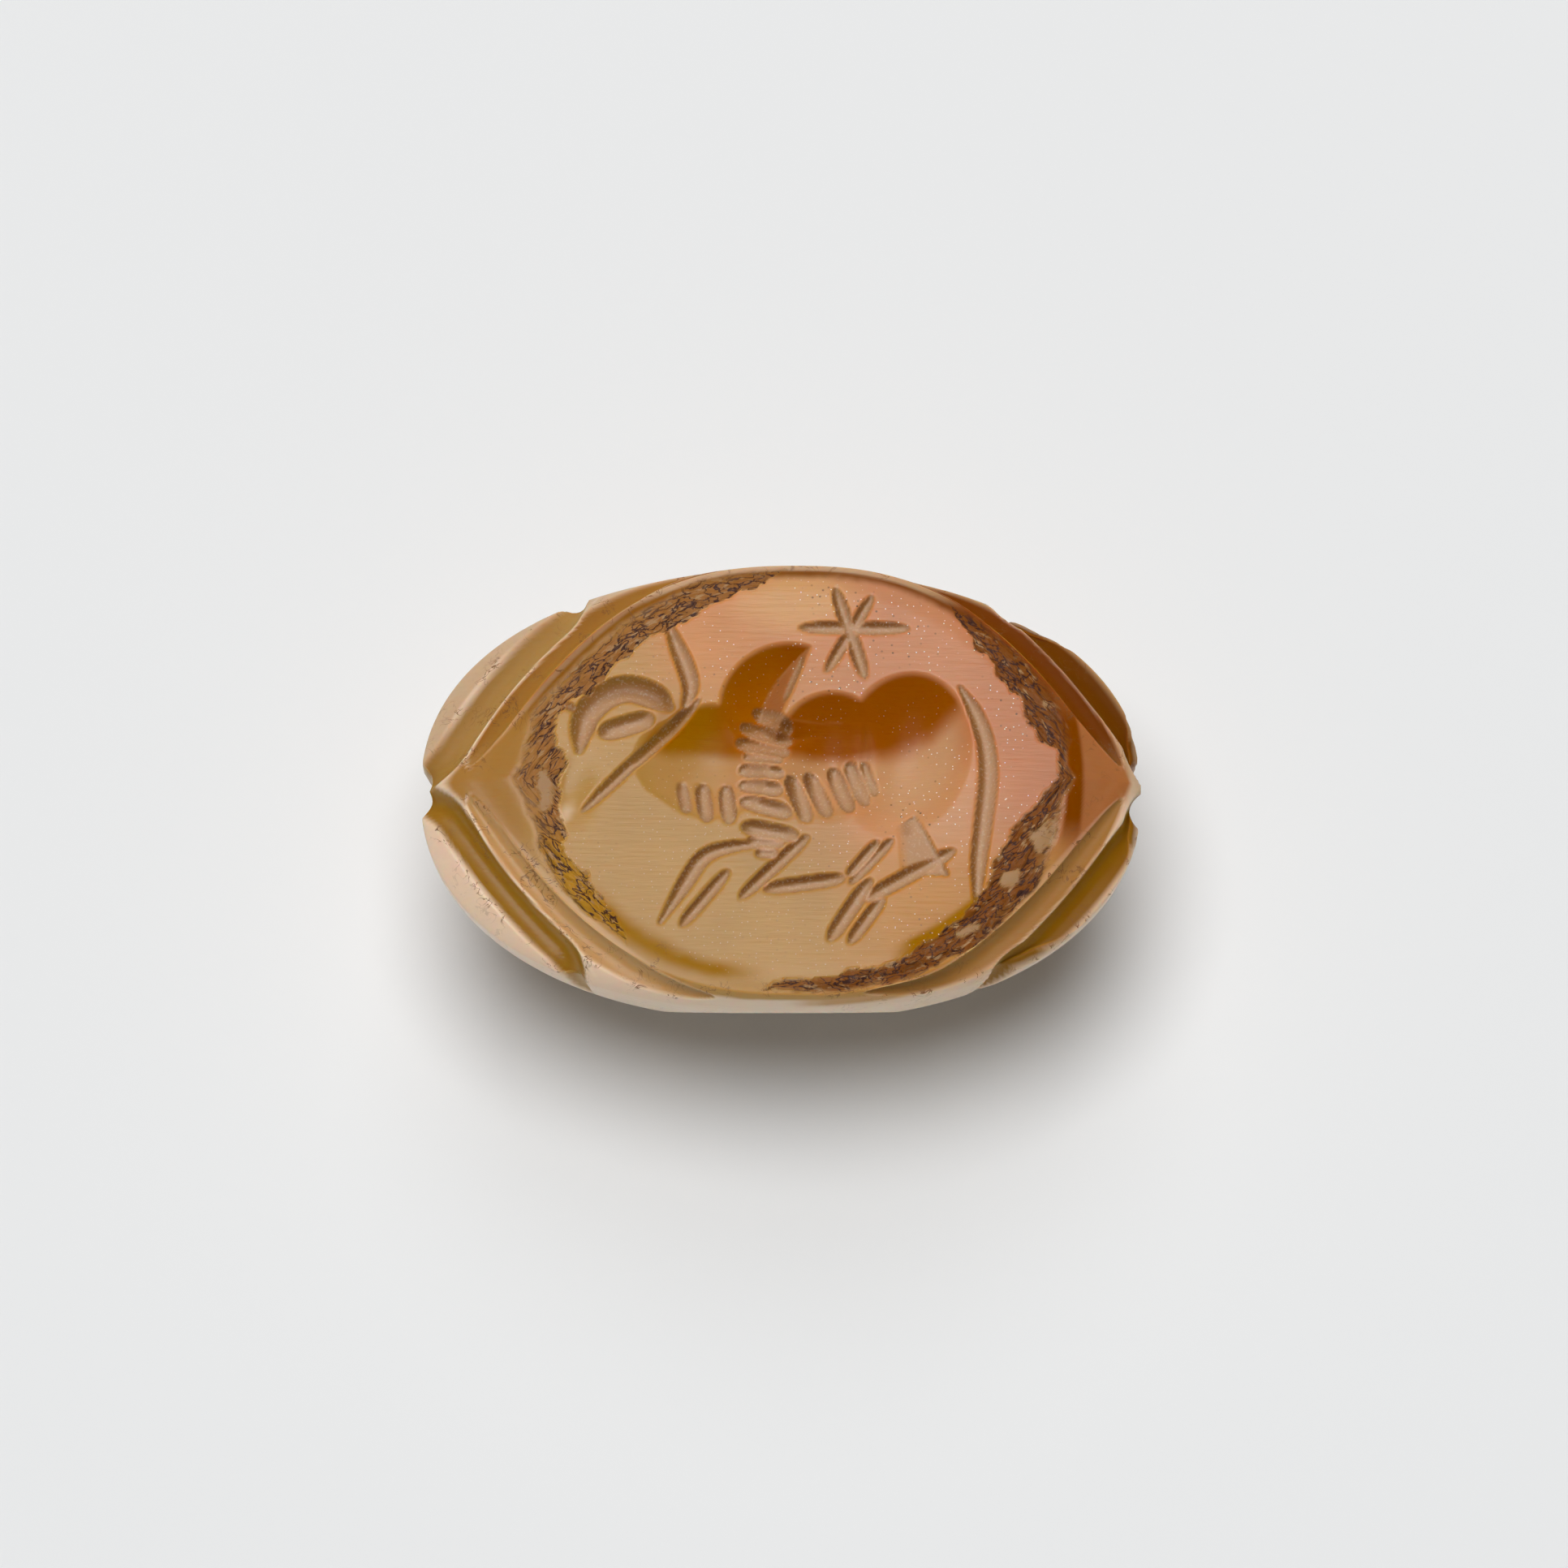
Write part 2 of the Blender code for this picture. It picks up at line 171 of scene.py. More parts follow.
def dark_room():
    """A dark world with a band of light above the horizon, except behind the stone.

    The light falls smoothly from the horizon's grey to the room's as z, a direction's height, grows. It is
    multiplied by a share that falls smoothly from 1 to almost nothing as y, the way back, grows.
    """
    made = bpy.data.worlds.new("room")
    made.use_nodes = True
    add = node_maker(made.node_tree)
    smooth = {"interpolation_type": "SMOOTHSTEP"}
    direction = add("ShaderNodeTexCoord").outputs["Generated"]
    parts = add("ShaderNodeSeparateXYZ", i0=direction).outputs
    band = add(
        "ShaderNodeMapRange", smooth, Value=parts["Z"],
        From_Min=HORIZON_BAND[0], From_Max=HORIZON_BAND[1], To_Min=HORIZON_GREY, To_Max=ROOM_GREY,
    )
    front = add(
        "ShaderNodeMapRange", smooth, Value=parts["Y"],
        From_Min=BEHIND[0], From_Max=BEHIND[1], To_Min=1, To_Max=BEHIND_SHARE,
    )
    strength = add("ShaderNodeMath", {"operation": "MULTIPLY"}, i0=band.outputs[0], i1=front.outputs[0])
    background = made.node_tree.nodes["Background"]
    background.inputs["Color"].default_value = HORIZON_TINT
    made.node_tree.links.new(strength.outputs[0], background.inputs["Strength"])
    return made


bpy.context.scene.world = dark_room()
bpy.context.scene.view_settings.view_transform = "Standard"
print("world:", bpy.context.scene.world.name)

# %% [markdown]
# The floor is a plain pale sheet that mirrors nothing. It belongs to the picture and not to the seal.

# %% Floor
FLOOR_GREY = 0.86
FLOOR_ROUGHNESS = 0.9
FLOOR_SIZE = 4000.0


def plain_material(name, grey, roughness):
    """One grey and one roughness all over."""
    made = bpy.data.materials.new(name)
    made.use_nodes = True
    shader = made.node_tree.nodes["Principled BSDF"]
    shader.inputs["Base Color"].default_value = (grey, grey, grey, 1)
    shader.inputs["Roughness"].default_value = roughness
    shader.inputs["Specular IOR Level"].default_value = 0
    return made


bpy.ops.mesh.primitive_plane_add(size=FLOOR_SIZE * MM)
floor = bpy.context.object
floor.name = "floor"
floor.data.materials.append(plain_material("pale_floor", FLOOR_GREY, FLOOR_ROUGHNESS))
print("floor, length and width in m:", floor.dimensions[:2])

# %% [markdown]
# The uncarved stone is a function of two numbers: an angle round the stone, and a level that is 0 on the
# face's edge, 1 on the girth and 2 in the middle of the back. Every point of the shoulder and the back is
# one call of it.

# %% The uncarved stone
HALVINGS = 40


def pointed_oval_radius(angle, half_length, half_width):
    """Distance from the centre, at an angle, of y = half width * (1 - |x / half length| ** power)."""
    along = np.abs(np.cos(angle)) / half_length
    across = np.abs(np.sin(angle)) / half_width
    low = np.zeros_like(angle)
    high = np.full_like(angle, max(half_length, half_width))
    for _ in range(HALVINGS):
        middle = (low + high) / 2
        outside = across * middle + (along * middle) ** FACE_POINT_POWER > 1
        low = np.where(outside, low, middle)
        high = np.where(outside, middle, high)
    return middle


def girth_radius(angle):
    """Distance from the centre, at an angle, of |x / half length| ** p + |y / half width| ** p = 1."""
    along = np.abs(np.cos(angle)) / HALF_LENGTH
    across = np.abs(np.sin(angle)) / HALF_WIDTH
    return (along**GIRTH_POWER + across**GIRTH_POWER) ** (-1 / GIRTH_POWER)


def edge_and_girth(angle):
    """Where a ray from the middle meets the face's edge and the girth, in plan."""
    ray = np.stack([np.cos(angle), np.sin(angle)], -1)
    edge = pointed_oval_radius(angle, *HALF_FACE)[..., None] * ray
    return edge + (FACE_OFF_CENTRE, 0), girth_radius(angle)[..., None] * ray


def stone_point(angle, level):
    """A point of the uncarved stone, whose plan goes from edge to girth and then shrinks towards the back.

    Down to the girth the drop is girth depth * (1 - (1 - level) ** (1 / power)). From there a turn goes from
    0 to a right angle. The plan shrinks as cos(turn) ** (2 / power) and the drop grows by back depth *
    sin(turn) ** (2 / power).
    """
    angle, level = np.broadcast_arrays(np.asarray(angle, float), np.asarray(level, float))
    edge, girth = edge_and_girth(angle)
    share = np.clip(level, 0, 1)[..., None]
    turn = np.clip(level - 1, 0, 1)[..., None] * math.pi / 2
    plan = (edge + (girth - edge) * share) * np.clip(np.cos(turn), 0, 1) ** (2 / BACK_POWER)
    drop = GIRTH_DEPTH * (1 - (1 - share) ** (1 / SHOULDER_POWER))
    drop = drop + BACK_DEPTH * np.sin(turn) ** (2 / BACK_POWER)
    return np.concatenate([plan, FACE_HEIGHT - drop], -1)


print("the stone's right end at the girth:", stone_point(0, 1).round(2))

# %% [markdown]
# A string hole runs through the stone from front to back, and a flat was ground on the side round each mouth
# of it. The lower outline in the photograph is straight for that reason. A point outside a flat is moved
# straight back onto it.

# %% Side flats
HOLE_DIAMETER = 3.0
HOLE_DROP = 4.2
SIDE_FLAT_CUT = 0.22
SIDE_FLAT_TILT = math.radians(20.5)

HOLE_HEIGHT = FACE_HEIGHT - HOLE_DROP
WIDTH_AT_HOLE = HALF_WIDTH * (1 - ((HOLE_DROP - GIRTH_DEPTH) / BACK_DEPTH) ** BACK_POWER) ** (1 / BACK_POWER)


def ground_flat(points):
    """The points, moved back along each flat's outward direction by as far as they stand in front of it."""
    for side in (-1, 1):
        outward = np.array([0, side * math.cos(SIDE_FLAT_TILT), -math.sin(SIDE_FLAT_TILT)])
        in_front = (points - (0, side * (WIDTH_AT_HOLE - SIDE_FLAT_CUT), HOLE_HEIGHT)) @ outward
        points = points - np.maximum(in_front, 0)[..., None] * outward
    return points


print("half width of the stone at the hole:", round(WIDTH_AT_HOLE, 2))

# %% [markdown]
# The mesh is one closed skin of three grids. A square grid is bent into a disc and stretched to the pointed
# oval, so the face has small even cells and no pole in the middle of the bull. A skirt of fine rows runs
# from the face's edge past the girth, and coarser rows make the smooth back. Every other column ends between
# two grids.

# %% The grids
CELLS_ALONG = 288
CELLS_ACROSS = 200
SHOULDER_ROWS = 44
GROOVED_BACK_ROWS = 16
BACK_ROWS = 20
GROOVED_BACK_LEVEL = 1.34


def face_places():
    """Angle, and share of the way to the edge, of every corner of the face's grid.

    The square (u, v) becomes the disc (u * sqrt(1 - v * v / 2), v * sqrt(1 - u * u / 2)).
    """
    u = np.linspace(-1, 1, CELLS_ALONG + 1)[:, None]
    v = np.linspace(-1, 1, CELLS_ACROSS + 1)[None, :]
    x = u * np.sqrt(1 - v * v / 2)
    y = v * np.sqrt(1 - u * u / 2)
    return np.arctan2(y * HALF_FACE[1], x * HALF_FACE[0]), np.hypot(x, y)


def rim_order():
    """Indices of the face grid's border, once round, as the angle grows."""
    index = np.arange((CELLS_ALONG + 1) * (CELLS_ACROSS + 1)).reshape(CELLS_ALONG + 1, CELLS_ACROSS + 1)
    sides = (index[:-1, 0], index[-1, :-1], index[:0:-1, -1], index[0, :0:-1])
    return np.concatenate(sides)


face_angle, face_share = (values.reshape(-1) for values in face_places())
rim = rim_order()
face_radius = face_share * pointed_oval_radius(face_angle, *HALF_FACE)
face_base = np.stack([
    face_radius * np.cos(face_angle) + FACE_OFF_CENTRE,
    face_radius * np.sin(face_angle),
    np.full(len(face_angle), FACE_HEIGHT),
], -1)

skirt_angle = face_angle[rim][::2]
back_angle = skirt_angle[::2]
skirt_levels = np.concatenate([
    np.sin(np.arange(1, SHOULDER_ROWS + 1) / SHOULDER_ROWS * math.pi / 2),
    np.linspace(1, GROOVED_BACK_LEVEL, GROOVED_BACK_ROWS + 1)[1:],
])
last_level = 1 + math.asin((1 - REST_CUT / BACK_DEPTH) ** (BACK_POWER / 2)) / (math.pi / 2)
back_levels = np.linspace(GROOVED_BACK_LEVEL, last_level, BACK_ROWS + 1)[1:]
skirt_base = ground_flat(stone_point(skirt_angle[None, :], skirt_levels[:, None]))
back_base = ground_flat(stone_point(back_angle[None, :], back_levels[:, None]))
print("face corners", len(face_base), "skirt grid", skirt_base.shape[:2], "back grid", back_base.shape[:2])

# %% [markdown]
# Carving moves each point inwards along the skin's normal. On a grid of rings the normal is the cross
# product of the two directions in which the grid runs, found here by differences between neighbours.

# %% Normals of the grids
def ring_normals(grid):
    """Outward unit normals of a grid of rings, rows going down and columns going round."""
    around = np.roll(grid, -1, 1) - np.roll(grid, 1, 1)
    down = np.gradient(grid, axis=0)
    normal = np.cross(down, around)
    return normal / np.linalg.norm(normal, axis=-1, keepdims=True)


skirt_normal = ring_normals(np.concatenate([face_base[rim][None, ::2], skirt_base]))[1:]
print("normals:", skirt_normal.shape)

# %% [markdown]
# The crescent grooves were ground with the edge of a wheel, two in each quarter of the shoulder. Each
# follows a line on the stone, and is widest in the middle of it. The outer ones run down over the girth at
# both ends, where they nick the stone's outline, and level out just below it.

# %% Lines of the crescent grooves
INNER_GROOVE_RADIUS = 0.5
INNER_GROOVE_SET_OUT = (0.42, 0.4)
INNER_GROOVE_TURN = (3.0, 72.0)
INNER_GROOVE_LOWEST = 0.75
INNER_GROOVE_FADES = (6, 4)
OUTER_GROOVE_RADIUS = 0.54
OUTER_GROOVE_SET_OUT = (1.28, 1.04)
OUTER_GROOVE_TURN = (-2.0, 46.0)
OUTER_GROOVE_LOWEST = 0.92
OUTER_GROOVE_FADES = (36, 14)
END_RUN_OFF = (6.0, 0.012)
SIDE_RUN_OFF = (36.0, 0.0035)
END_LEVEL = 1.20
GROOVE_STEPS = 90


def groove_line(set_out, turn, lowest, quarter):
    """Turns, polar angles and levels of points along a pointed oval in one quarter of the shoulder.

    The level is the share of the way from the face's edge to the girth, and at most the lowest level.
    """
    swing = np.linspace(turn[0], turn[1], GROOVE_STEPS)
    angle = np.arctan2(quarter[1] * np.sin(np.radians(swing)), quarter[0] * np.cos(np.radians(swing)))
    edge, girth = edge_and_girth(angle)
    reach = pointed_oval_radius(angle, HALF_FACE[0] + set_out[0], HALF_FACE[1] + set_out[1])
    line = reach[:, None] * np.stack([np.cos(angle), np.sin(angle)], -1) + (FACE_OFF_CENTRE, 0)
    level = ((line - edge) * (girth - edge)).sum(-1) / ((girth - edge) ** 2).sum(-1)
    return swing, angle, np.minimum(level, lowest)


def tapered(swing, radius, fades):
    """radius * sqrt((1 - t ** last) * (1 - (1 - t) ** first)), with t from 0 to 1 along the groove."""
    share = (swing - swing[0]) / (swing[-1] - swing[0])
    return radius * np.sqrt(np.maximum((1 - share ** fades[1]) * (1 - (1 - share) ** fades[0]), 0))


def inner_groove(quarter):
    """Line and radii of an inner groove, which starts and ends in points."""
    swing, angle, level = groove_line(INNER_GROOVE_SET_OUT, INNER_GROOVE_TURN, INNER_GROOVE_LOWEST, quarter)
    return ground_flat(stone_point(angle, level)), tapered(swing, INNER_GROOVE_RADIUS, INNER_GROOVE_FADES)


def outer_groove(quarter):
    """Line and radii of an outer groove, which runs down over the girth at both ends.

    A run-off holds the turn where it starts and a rate: the level grows by rate * (turns past it) ** 2.
    """
    swing, angle, level = groove_line(OUTER_GROOVE_SET_OUT, OUTER_GROOVE_TURN, OUTER_GROOVE_LOWEST, quarter)
    level = level + END_RUN_OFF[1] * np.maximum(END_RUN_OFF[0] - swing, 0) ** 2
    level = level + SIDE_RUN_OFF[1] * np.maximum(swing - SIDE_RUN_OFF[0], 0) ** 2
    level = np.minimum(level, END_LEVEL)
    return ground_flat(stone_point(angle, level)), tapered(swing, OUTER_GROOVE_RADIUS, OUTER_GROOVE_FADES)


QUARTERS = list(itertools.product((-1, 1), (-1, 1)))
INNER_GROOVES = [inner_groove(quarter) for quarter in QUARTERS]
OUTER_GROOVES = [outer_groove(quarter) for quarter in QUARTERS]
print("grooves:", len(INNER_GROOVES) + len(OUTER_GROOVES))

# %% [markdown]
# A groove's depth falls off with the distance to its line. The reach of a groove at a point is that
# distance, with the groove's radius as the unit, so it is 1 on the groove's lips. The colours need it too.
#
# A lip that runs slantwise over the grid would look like steps if each point only knew its own depth. So
# depth and reach are taken at four places round each point, a quarter of a cell away, and averaged.

# %% Depths of the grooves
GROOVE_POWER = 0.9
GROOVE_SHARE = 0.7
GROOVE_MARGIN = 1.0
LEAST_RADIUS = 0.02
FAR_REACH = 3.0
SKIRT_TAPS = ((-0.25, -0.25), (0.25, -0.25), (-0.25, 0.25), (0.25, 0.25))


def one_groove(points, line, radii):
    """Depth and reach of one groove at each point.

    The reach r is the distance to the line over the radius there, and the depth is share * radius *
    (1 - r * r) ** power.
    """
    depth = np.zeros(len(points))
    reach = np.full(len(points), FAR_REACH)
    in_box = (points > line.min(0) - GROOVE_MARGIN) & (points < line.max(0) + GROOVE_MARGIN)
    near = np.nonzero(in_box.all(1))[0]
    for start, end, start_radius, end_radius in zip(line, line[1:], radii, radii[1:]):
        offset, run = points[near] - start, end - start
        share = np.clip(offset @ run / (run @ run), 0, 1)
        radius = np.maximum(start_radius + (end_radius - start_radius) * share, LEAST_RADIUS)
        r_squared = ((offset - share[:, None] * run) ** 2).sum(1) / radius**2
        here = GROOVE_SHARE * radius * np.clip(1 - r_squared, 0, 1) ** GROOVE_POWER
        depth[near] = np.maximum(depth[near], here)
        reach[near] = np.minimum(reach[near], np.sqrt(r_squared))
    return depth, reach


def all_grooves(points, grooves):
    """Depth of the deepest groove and reach of the nearest one at each point."""
    depths, reaches = zip(*(one_groove(points, *groove) for groove in grooves))
    return np.array([np.max(depths, axis=0), np.min(reaches, axis=0)])


def skirt_tap(column_share, row_share):
    """The uncarved skirt with every point moved by a share of a column round and a share of a row down."""
    column = (np.roll(skirt_angle, -1) - skirt_angle + math.pi) % (2 * math.pi) - math.pi
    angle = skirt_angle + column_share * column
    level = skirt_levels + row_share * np.gradient(skirt_levels)
    return ground_flat(stone_point(angle[None, :], level[:, None])).reshape(-1, 3)


skirt_taps = [skirt_tap(*tap) for tap in SKIRT_TAPS]
skirt_inner, skirt_inner_reach = np.mean([all_grooves(tap, INNER_GROOVES) for tap in skirt_taps], axis=0)
skirt_outer, skirt_outer_reach = np.mean([all_grooves(tap, OUTER_GROOVES) for tap in skirt_taps], axis=0)
skirt_groove = np.maximum(skirt_inner, skirt_outer)
face_groove, face_inner_reach = all_grooves(face_base, INNER_GROOVES)
print("deepest groove in mm:", skirt_groove.max().round(2))

# %% [markdown]
# The figure is drawn in tenths of a millimetre from the middle of the face, as an engraver would plan it.
# Each cut is a function that gives a depth at every point of the face. The depths are taken at five places
# inside each cell and averaged, because an edge that is finer than a cell would look like steps.

# %% Places on the figure
TENTH = 0.1
TAPS = ((0, 0), (0.3, 0.1), (-0.1, 0.3), (-0.3, -0.1), (0.1, -0.3))
CELL = FACE_LENGTH / CELLS_ALONG
tap_offsets = np.array(TAPS)[:, :, None] * CELL
X = (face_base[:, 0] - FACE_OFF_CENTRE + tap_offsets[:, 0]) / TENTH
Y = (face_base[:, 1] + tap_offsets[:, 1]) / TENTH
print("cell in mm:", round(CELL, 3), "places:", X.shape)

# %% [markdown]
# A ball drill leaves a round hollow. Where the drill was held at a slant the deepest place isn't in the
# middle, so one wall is steep and the other is a long slope. With q the place inside the oval, stretched to
# a unit circle, and o the deepest place, s is how far q has come from o to the rim, and the depth is
# 1 - s * s to a power.

# %% Round hollows
TINY = 1e-9


def turned(x, y, centre, turn):
    """Coordinates along and across a direction that is turned by an angle in degrees, from a centre."""
    cos, sin = math.cos(math.radians(turn)), math.sin(math.radians(turn))
    x, y = x - centre[0], y - centre[1]
    return x * cos + y * sin, y * cos - x * sin


def hollow(centre, half_length, half_width, turn, depth, slant=(0, 0), soft=0.0):
    """depth * (1 - s * s) ** (1 + soft * away), where |q - o * (1 - s)| = s is solved for s.

    Away is 0 towards the wall that the slant points at, and 1 on the other side, where the rim fades out.
    """
    along, across = turned(X, Y, centre, turn)
    dx, dy = along / half_length - slant[0], across / half_width - slant[1]
    lean = dx * slant[0] + dy * slant[1]
    rest = 1 - slant[0] ** 2 - slant[1] ** 2
    s = (lean + np.sqrt(lean**2 + rest * (dx**2 + dy**2))) / rest
    away = 0.5 - 0.5 * lean / np.maximum(np.hypot(dx, dy) * math.hypot(*slant), TINY)
    return depth * np.maximum(1 - s * s, 0) ** (1 + soft * away)


rump = hollow((31.5, 7), 26.5, 20, 77, 8.0, slant=(0.16, 0), soft=0.8)
back = hollow((10.5, 6.5), 20.8, 17.5, 86, 7.6, slant=(0.08, 0), soft=0.8)
hump = hollow((-3.5, 23.5), 20, 18, 43, 7.6, slant=(0, 0.1))
neck = hollow((-24, 7), 17, 16.5, 0, 5.6, slant=(0, 0.1), soft=0.5)
chest = hollow((-28, 3), 20, 15, -24, 4)
muzzle = hollow((-62, -3.5), 15, 9, 84, 1.7, slant=(0, 0.5), soft=2.0)
print("depths in tenths:", [part.max().round(1) for part in (rump, back, hump, neck, chest, muzzle)])

# %% [markdown]
# The hollows run into each other, with rounded ridges between them. The hump ends at its right in a flat
# facet, the chest ends in a straight edge, and the thigh is a small flat slope with straight sides. Each of
# these is a height that grows with the distance to a line.

# %% Joined hollows
def right_of(start, end):
    """Distance to the right of a walk from one point to another, negative on its left."""
    run = np.array(end, float) - start
    run /= np.hypot(*run)
    return run[1] * (X - start[0]) - run[0] * (Y - start[1])


def blended_max(a, b, width):
    """The larger of two depths plus (width - |a - b|) ** 2 / (4 * width), to round the ridge between them.

    The rounding fades out where either depth is small, so the rims stay crisp.
    """
    gap = np.minimum(np.abs(a - b), width)
    both = np.clip(2 * np.minimum(a, b) / width, 0, 1)
    return np.maximum(a, b) + both * (width - gap) ** 2 / (4 * width)


HUMP_EDGE = ((5.6, 42.5), (-4.2, 19.0))
HUMP_EDGE_SLOPE = 1.05
CHEST_EDGE = ((-31.7, -12.3), (-46, -2))
CHEST_EDGE_SLOPE = 0.45
THIGH_LEFT = ((30, -25.9), (29, -15))
THIGH_RIGHT = ((34.8, -11), (41.4, -23.6))
THIGH_TOP = ((28, -15.8), (35, -11))
THIGH_BOTTOM = -30
THIGH_WIDTH = 14
THIGH_SLOPE = 0.22

hump_facet = np.maximum(right_of(*HUMP_EDGE), 0) * HUMP_EDGE_SLOPE + np.maximum(HUMP_EDGE[1][1] - Y, 0)
faceted = ((hump_facet < hump) & (hump_facet > 0)).mean(0)
hump = np.minimum(hump, hump_facet)
chest = np.minimum(chest, np.maximum(right_of(*CHEST_EDGE), 0) * CHEST_EDGE_SLOPE)
in_thigh = (right_of(*THIGH_RIGHT) > 0) & (right_of(*THIGH_TOP) > 0) & (Y > THIGH_BOTTOM)
in_thigh = in_thigh & (right_of(*THIGH_LEFT) < THIGH_WIDTH)
thigh = np.maximum(right_of(*THIGH_LEFT), 0) * THIGH_SLOPE * in_thigh
body = blended_max(rump, back, 8.0)
front = blended_max(blended_max(neck, chest, 4.0), hump, 6.0)
hollows = np.maximum(blended_max(body, front, 4.0), muzzle)
print("deepest hollow in tenths:", hollows.max().round(1))

# %% [markdown]
# A wheel leaves a boat-shaped cut, straight or bent. Its depth falls off across the line of the cut and
# towards both ends.

# %% Wheel cuts
CUT_POWER = 0.75
CUT_MARGIN = 6
PATH_STEPS = 40
LEAST_WIDTH = 0.2
THIN_END = 1.3


def wheel_cut(x0, y0, x1, y1, width, depth):
    """depth * (1 - s**4 - t**2) ** power, with s along a straight cut and t across it, both 1 at its edge."""
    middle = ((x0 + x1) / 2, (y0 + y1) / 2)
    along, across = turned(X, Y, middle, math.degrees(math.atan2(y1 - y0, x1 - x0)))
    half = math.hypot(x1 - x0, y1 - y0) / 2
    inside = np.maximum(1 - (along / half) ** 4 - (across / (width / 2)) ** 2, 0)
    return depth * inside**CUT_POWER


def smooth_path(points, steps):
    """A smooth line through the points: each column follows cubic pieces that match at every point."""
    points = np.array(points, float)
    ends = np.concatenate([[2 * points[0] - points[1]], points, [2 * points[-1] - points[-2]]])
    place = np.linspace(0, len(points) - 1.0001, steps)
    i = place.astype(int)
    t = (place - i)[:, None]
    a, b, c, d = (ends[i + k] for k in range(4))
    return b + t * (c - a) / 2 + t**2 * (a - 2.5 * b + 2 * c - d / 2) + t**3 * (1.5 * (b - c) + (d - a) / 2)


def bent_cut(points, depth):
    """depth * (1 - r * r) ** power along a smooth line through points given as x, y and width.

    r is the distance to the line as a share of half the width there, and thin ends are shallow.
    """
    path = smooth_path(points, PATH_STEPS)
    best = np.zeros_like(X)
    low, high = path[:, :2].min(0) - CUT_MARGIN, path[:, :2].max(0) + CUT_MARGIN
    near = (X > low[0]) & (X < high[0]) & (Y > low[1]) & (Y < high[1])
    x, y = X[near], Y[near]
    value = np.zeros_like(x)
    full = path[:, 2].max()
    for (x0, y0, w0), (x1, y1, w1) in zip(path, path[1:]):
        run_x, run_y = x1 - x0, y1 - y0
        share = np.clip(((x - x0) * run_x + (y - y0) * run_y) / (run_x**2 + run_y**2), 0, 1)
        width = np.maximum(w0 + (w1 - w0) * share, LEAST_WIDTH)
        gap = (x - x0 - share * run_x) ** 2 + (y - y0 - share * run_y) ** 2
        inside = np.maximum(1 - gap / (width / 2) ** 2, 0) ** CUT_POWER
        value = np.maximum(value, inside * np.minimum(1, THIN_END * width / full))
    best[near] = value
    return depth * best


print("a cut 20 tenths long, deepest:", wheel_cut(0, 0, 20, 0, width=4, depth=2).max().round(2))

# %% [markdown]
# The bull's ribs, mane, legs, horn and tail and the star are all such strokes. A straight one is given by its
# two ends, its width and its depth, and a bent one by the points that it passes through. They add a share of
# their depth to whatever hollow they cross.

# %% Strokes of the figure
CUT_SHARE = 0.65
RIBS = (
    (-2, 1.8, 4, -14, 5.4, 2.8),
    (3.4, 3.8, 9.9, -12.3, 5.3, 2.8),
    (10.4, 6, 16.3, -10.8, 5.3, 2.8),
    (15.3, 7.5, 20.8, -8.4, 5, 2.6),
    (19.6, 7.4, 23.5, -4.8, 3.5, 1.6),
    (-20.4, -0.6, -19, -14.5, 5, 2.6),
    (-27.4, -0.1, -25.4, -14, 5, 2.6),
    (-33.5, 0.3, -31.4, -11.4, 4.4, 1.2),
)
MANE = (
    (-12.5, 23.4, -0.8, 15.3, 5, 2.4),
    (-16.4, 17.9, -0.6, 12.1, 5, 2.6),
    (-17.6, 12.8, -1.5, 8.6, 5.4, 3),
    (-15.4, 8.3, -3.6, 5.7, 4.2, 2.4),
    (-16.8, 4.1, -3.0, 1.2, 5, 2.8),
    (-16.8, -1.0, -3.3, -4.2, 5.1, 2.8),
    (-16.5, -6.5, -0.6, -11.3, 5.5, 3),
    (-16.0, -14.8, 1.2, -18.3, 5.4, 3),
    (-14.2, -19.3, -3.0, -20.3, 4.5, 2.4),
    (-11.8, -22.8, -4.8, -23.5, 4, 2),
)
STAR = (
    (0.7, 46.8, 33.8, 46.5, 4.4, 2.6),
    (11.4, 59.6, 20.6, 30.7, 4.4, 3),
    (22.9, 57.2, 8.8, 32.6, 3.8, 2.6),
)
OTHER_CUTS = (
    (-27.5, 24.8, -62.6, -10.8, 4.0, 3.4),
    (2.6, 38.8, -3.5, 23.5, 2.6, 1.2),
    (-69, 23.9, -63.8, 20.9, 3, 1.5),
    (-57.6, 13.6, -41.1, 18.8, 6.8, 3.2),
    (4, -17.6, -16.5, -37.5, 4.3, 3),
    (-9.7, -34.5, 14.9, -30.9, 4.7, 3),
    (-19.1, -28.2, -33.6, -46, 4, 2.6),
    (14.9, -30.7, 24.3, -19.4, 3.5, 2.4),
    (15.6, -33, 28.6, -18.6, 3.5, 2.4),
    (22.2, -30.9, 9.5, -50.6, 5, 2.8),
    (25.8, -36.5, 15.4, -51.3, 4.3, 2.6),
    (19.4, -38, 46.8, -22.1, 5, 3),
)
HEAD = (
    (-36.8, 21.8, 3), (-41.1, 25.2, 8), (-48.4, 27.6, 8.6), (-55.2, 25.6, 8.8),
    (-60.3, 20.6, 8.6), (-62.2, 15, 7), (-63, 8.4, 2.5),
)
HORN = ((-37, 47.5, 2), (-35, 42, 4.5), (-32.2, 35, 5.5), (-30.6, 28.5, 5), (-32, 22.6, 2.5))
TAIL = (
    (48.2, 28, 1.8), (52.3, 20.5, 4.6), (55.4, 11, 5.4), (56.2, 0, 5.8),
    (54.8, -13, 5.6), (53.3, -26, 5), (52.7, -38, 2.4),
)
FORE_SHANK = ((-10.5, -20.5, 2.5), (-19, -21.4, 4), (-26.4, -24.4, 5), (-32, -32.5, 5), (-39.2, -44.5, 1.8))
BENT_CUTS = ((HEAD, 4.2), (HORN, 2.8), (TAIL, 2.4), (FORE_SHANK, 2.8))

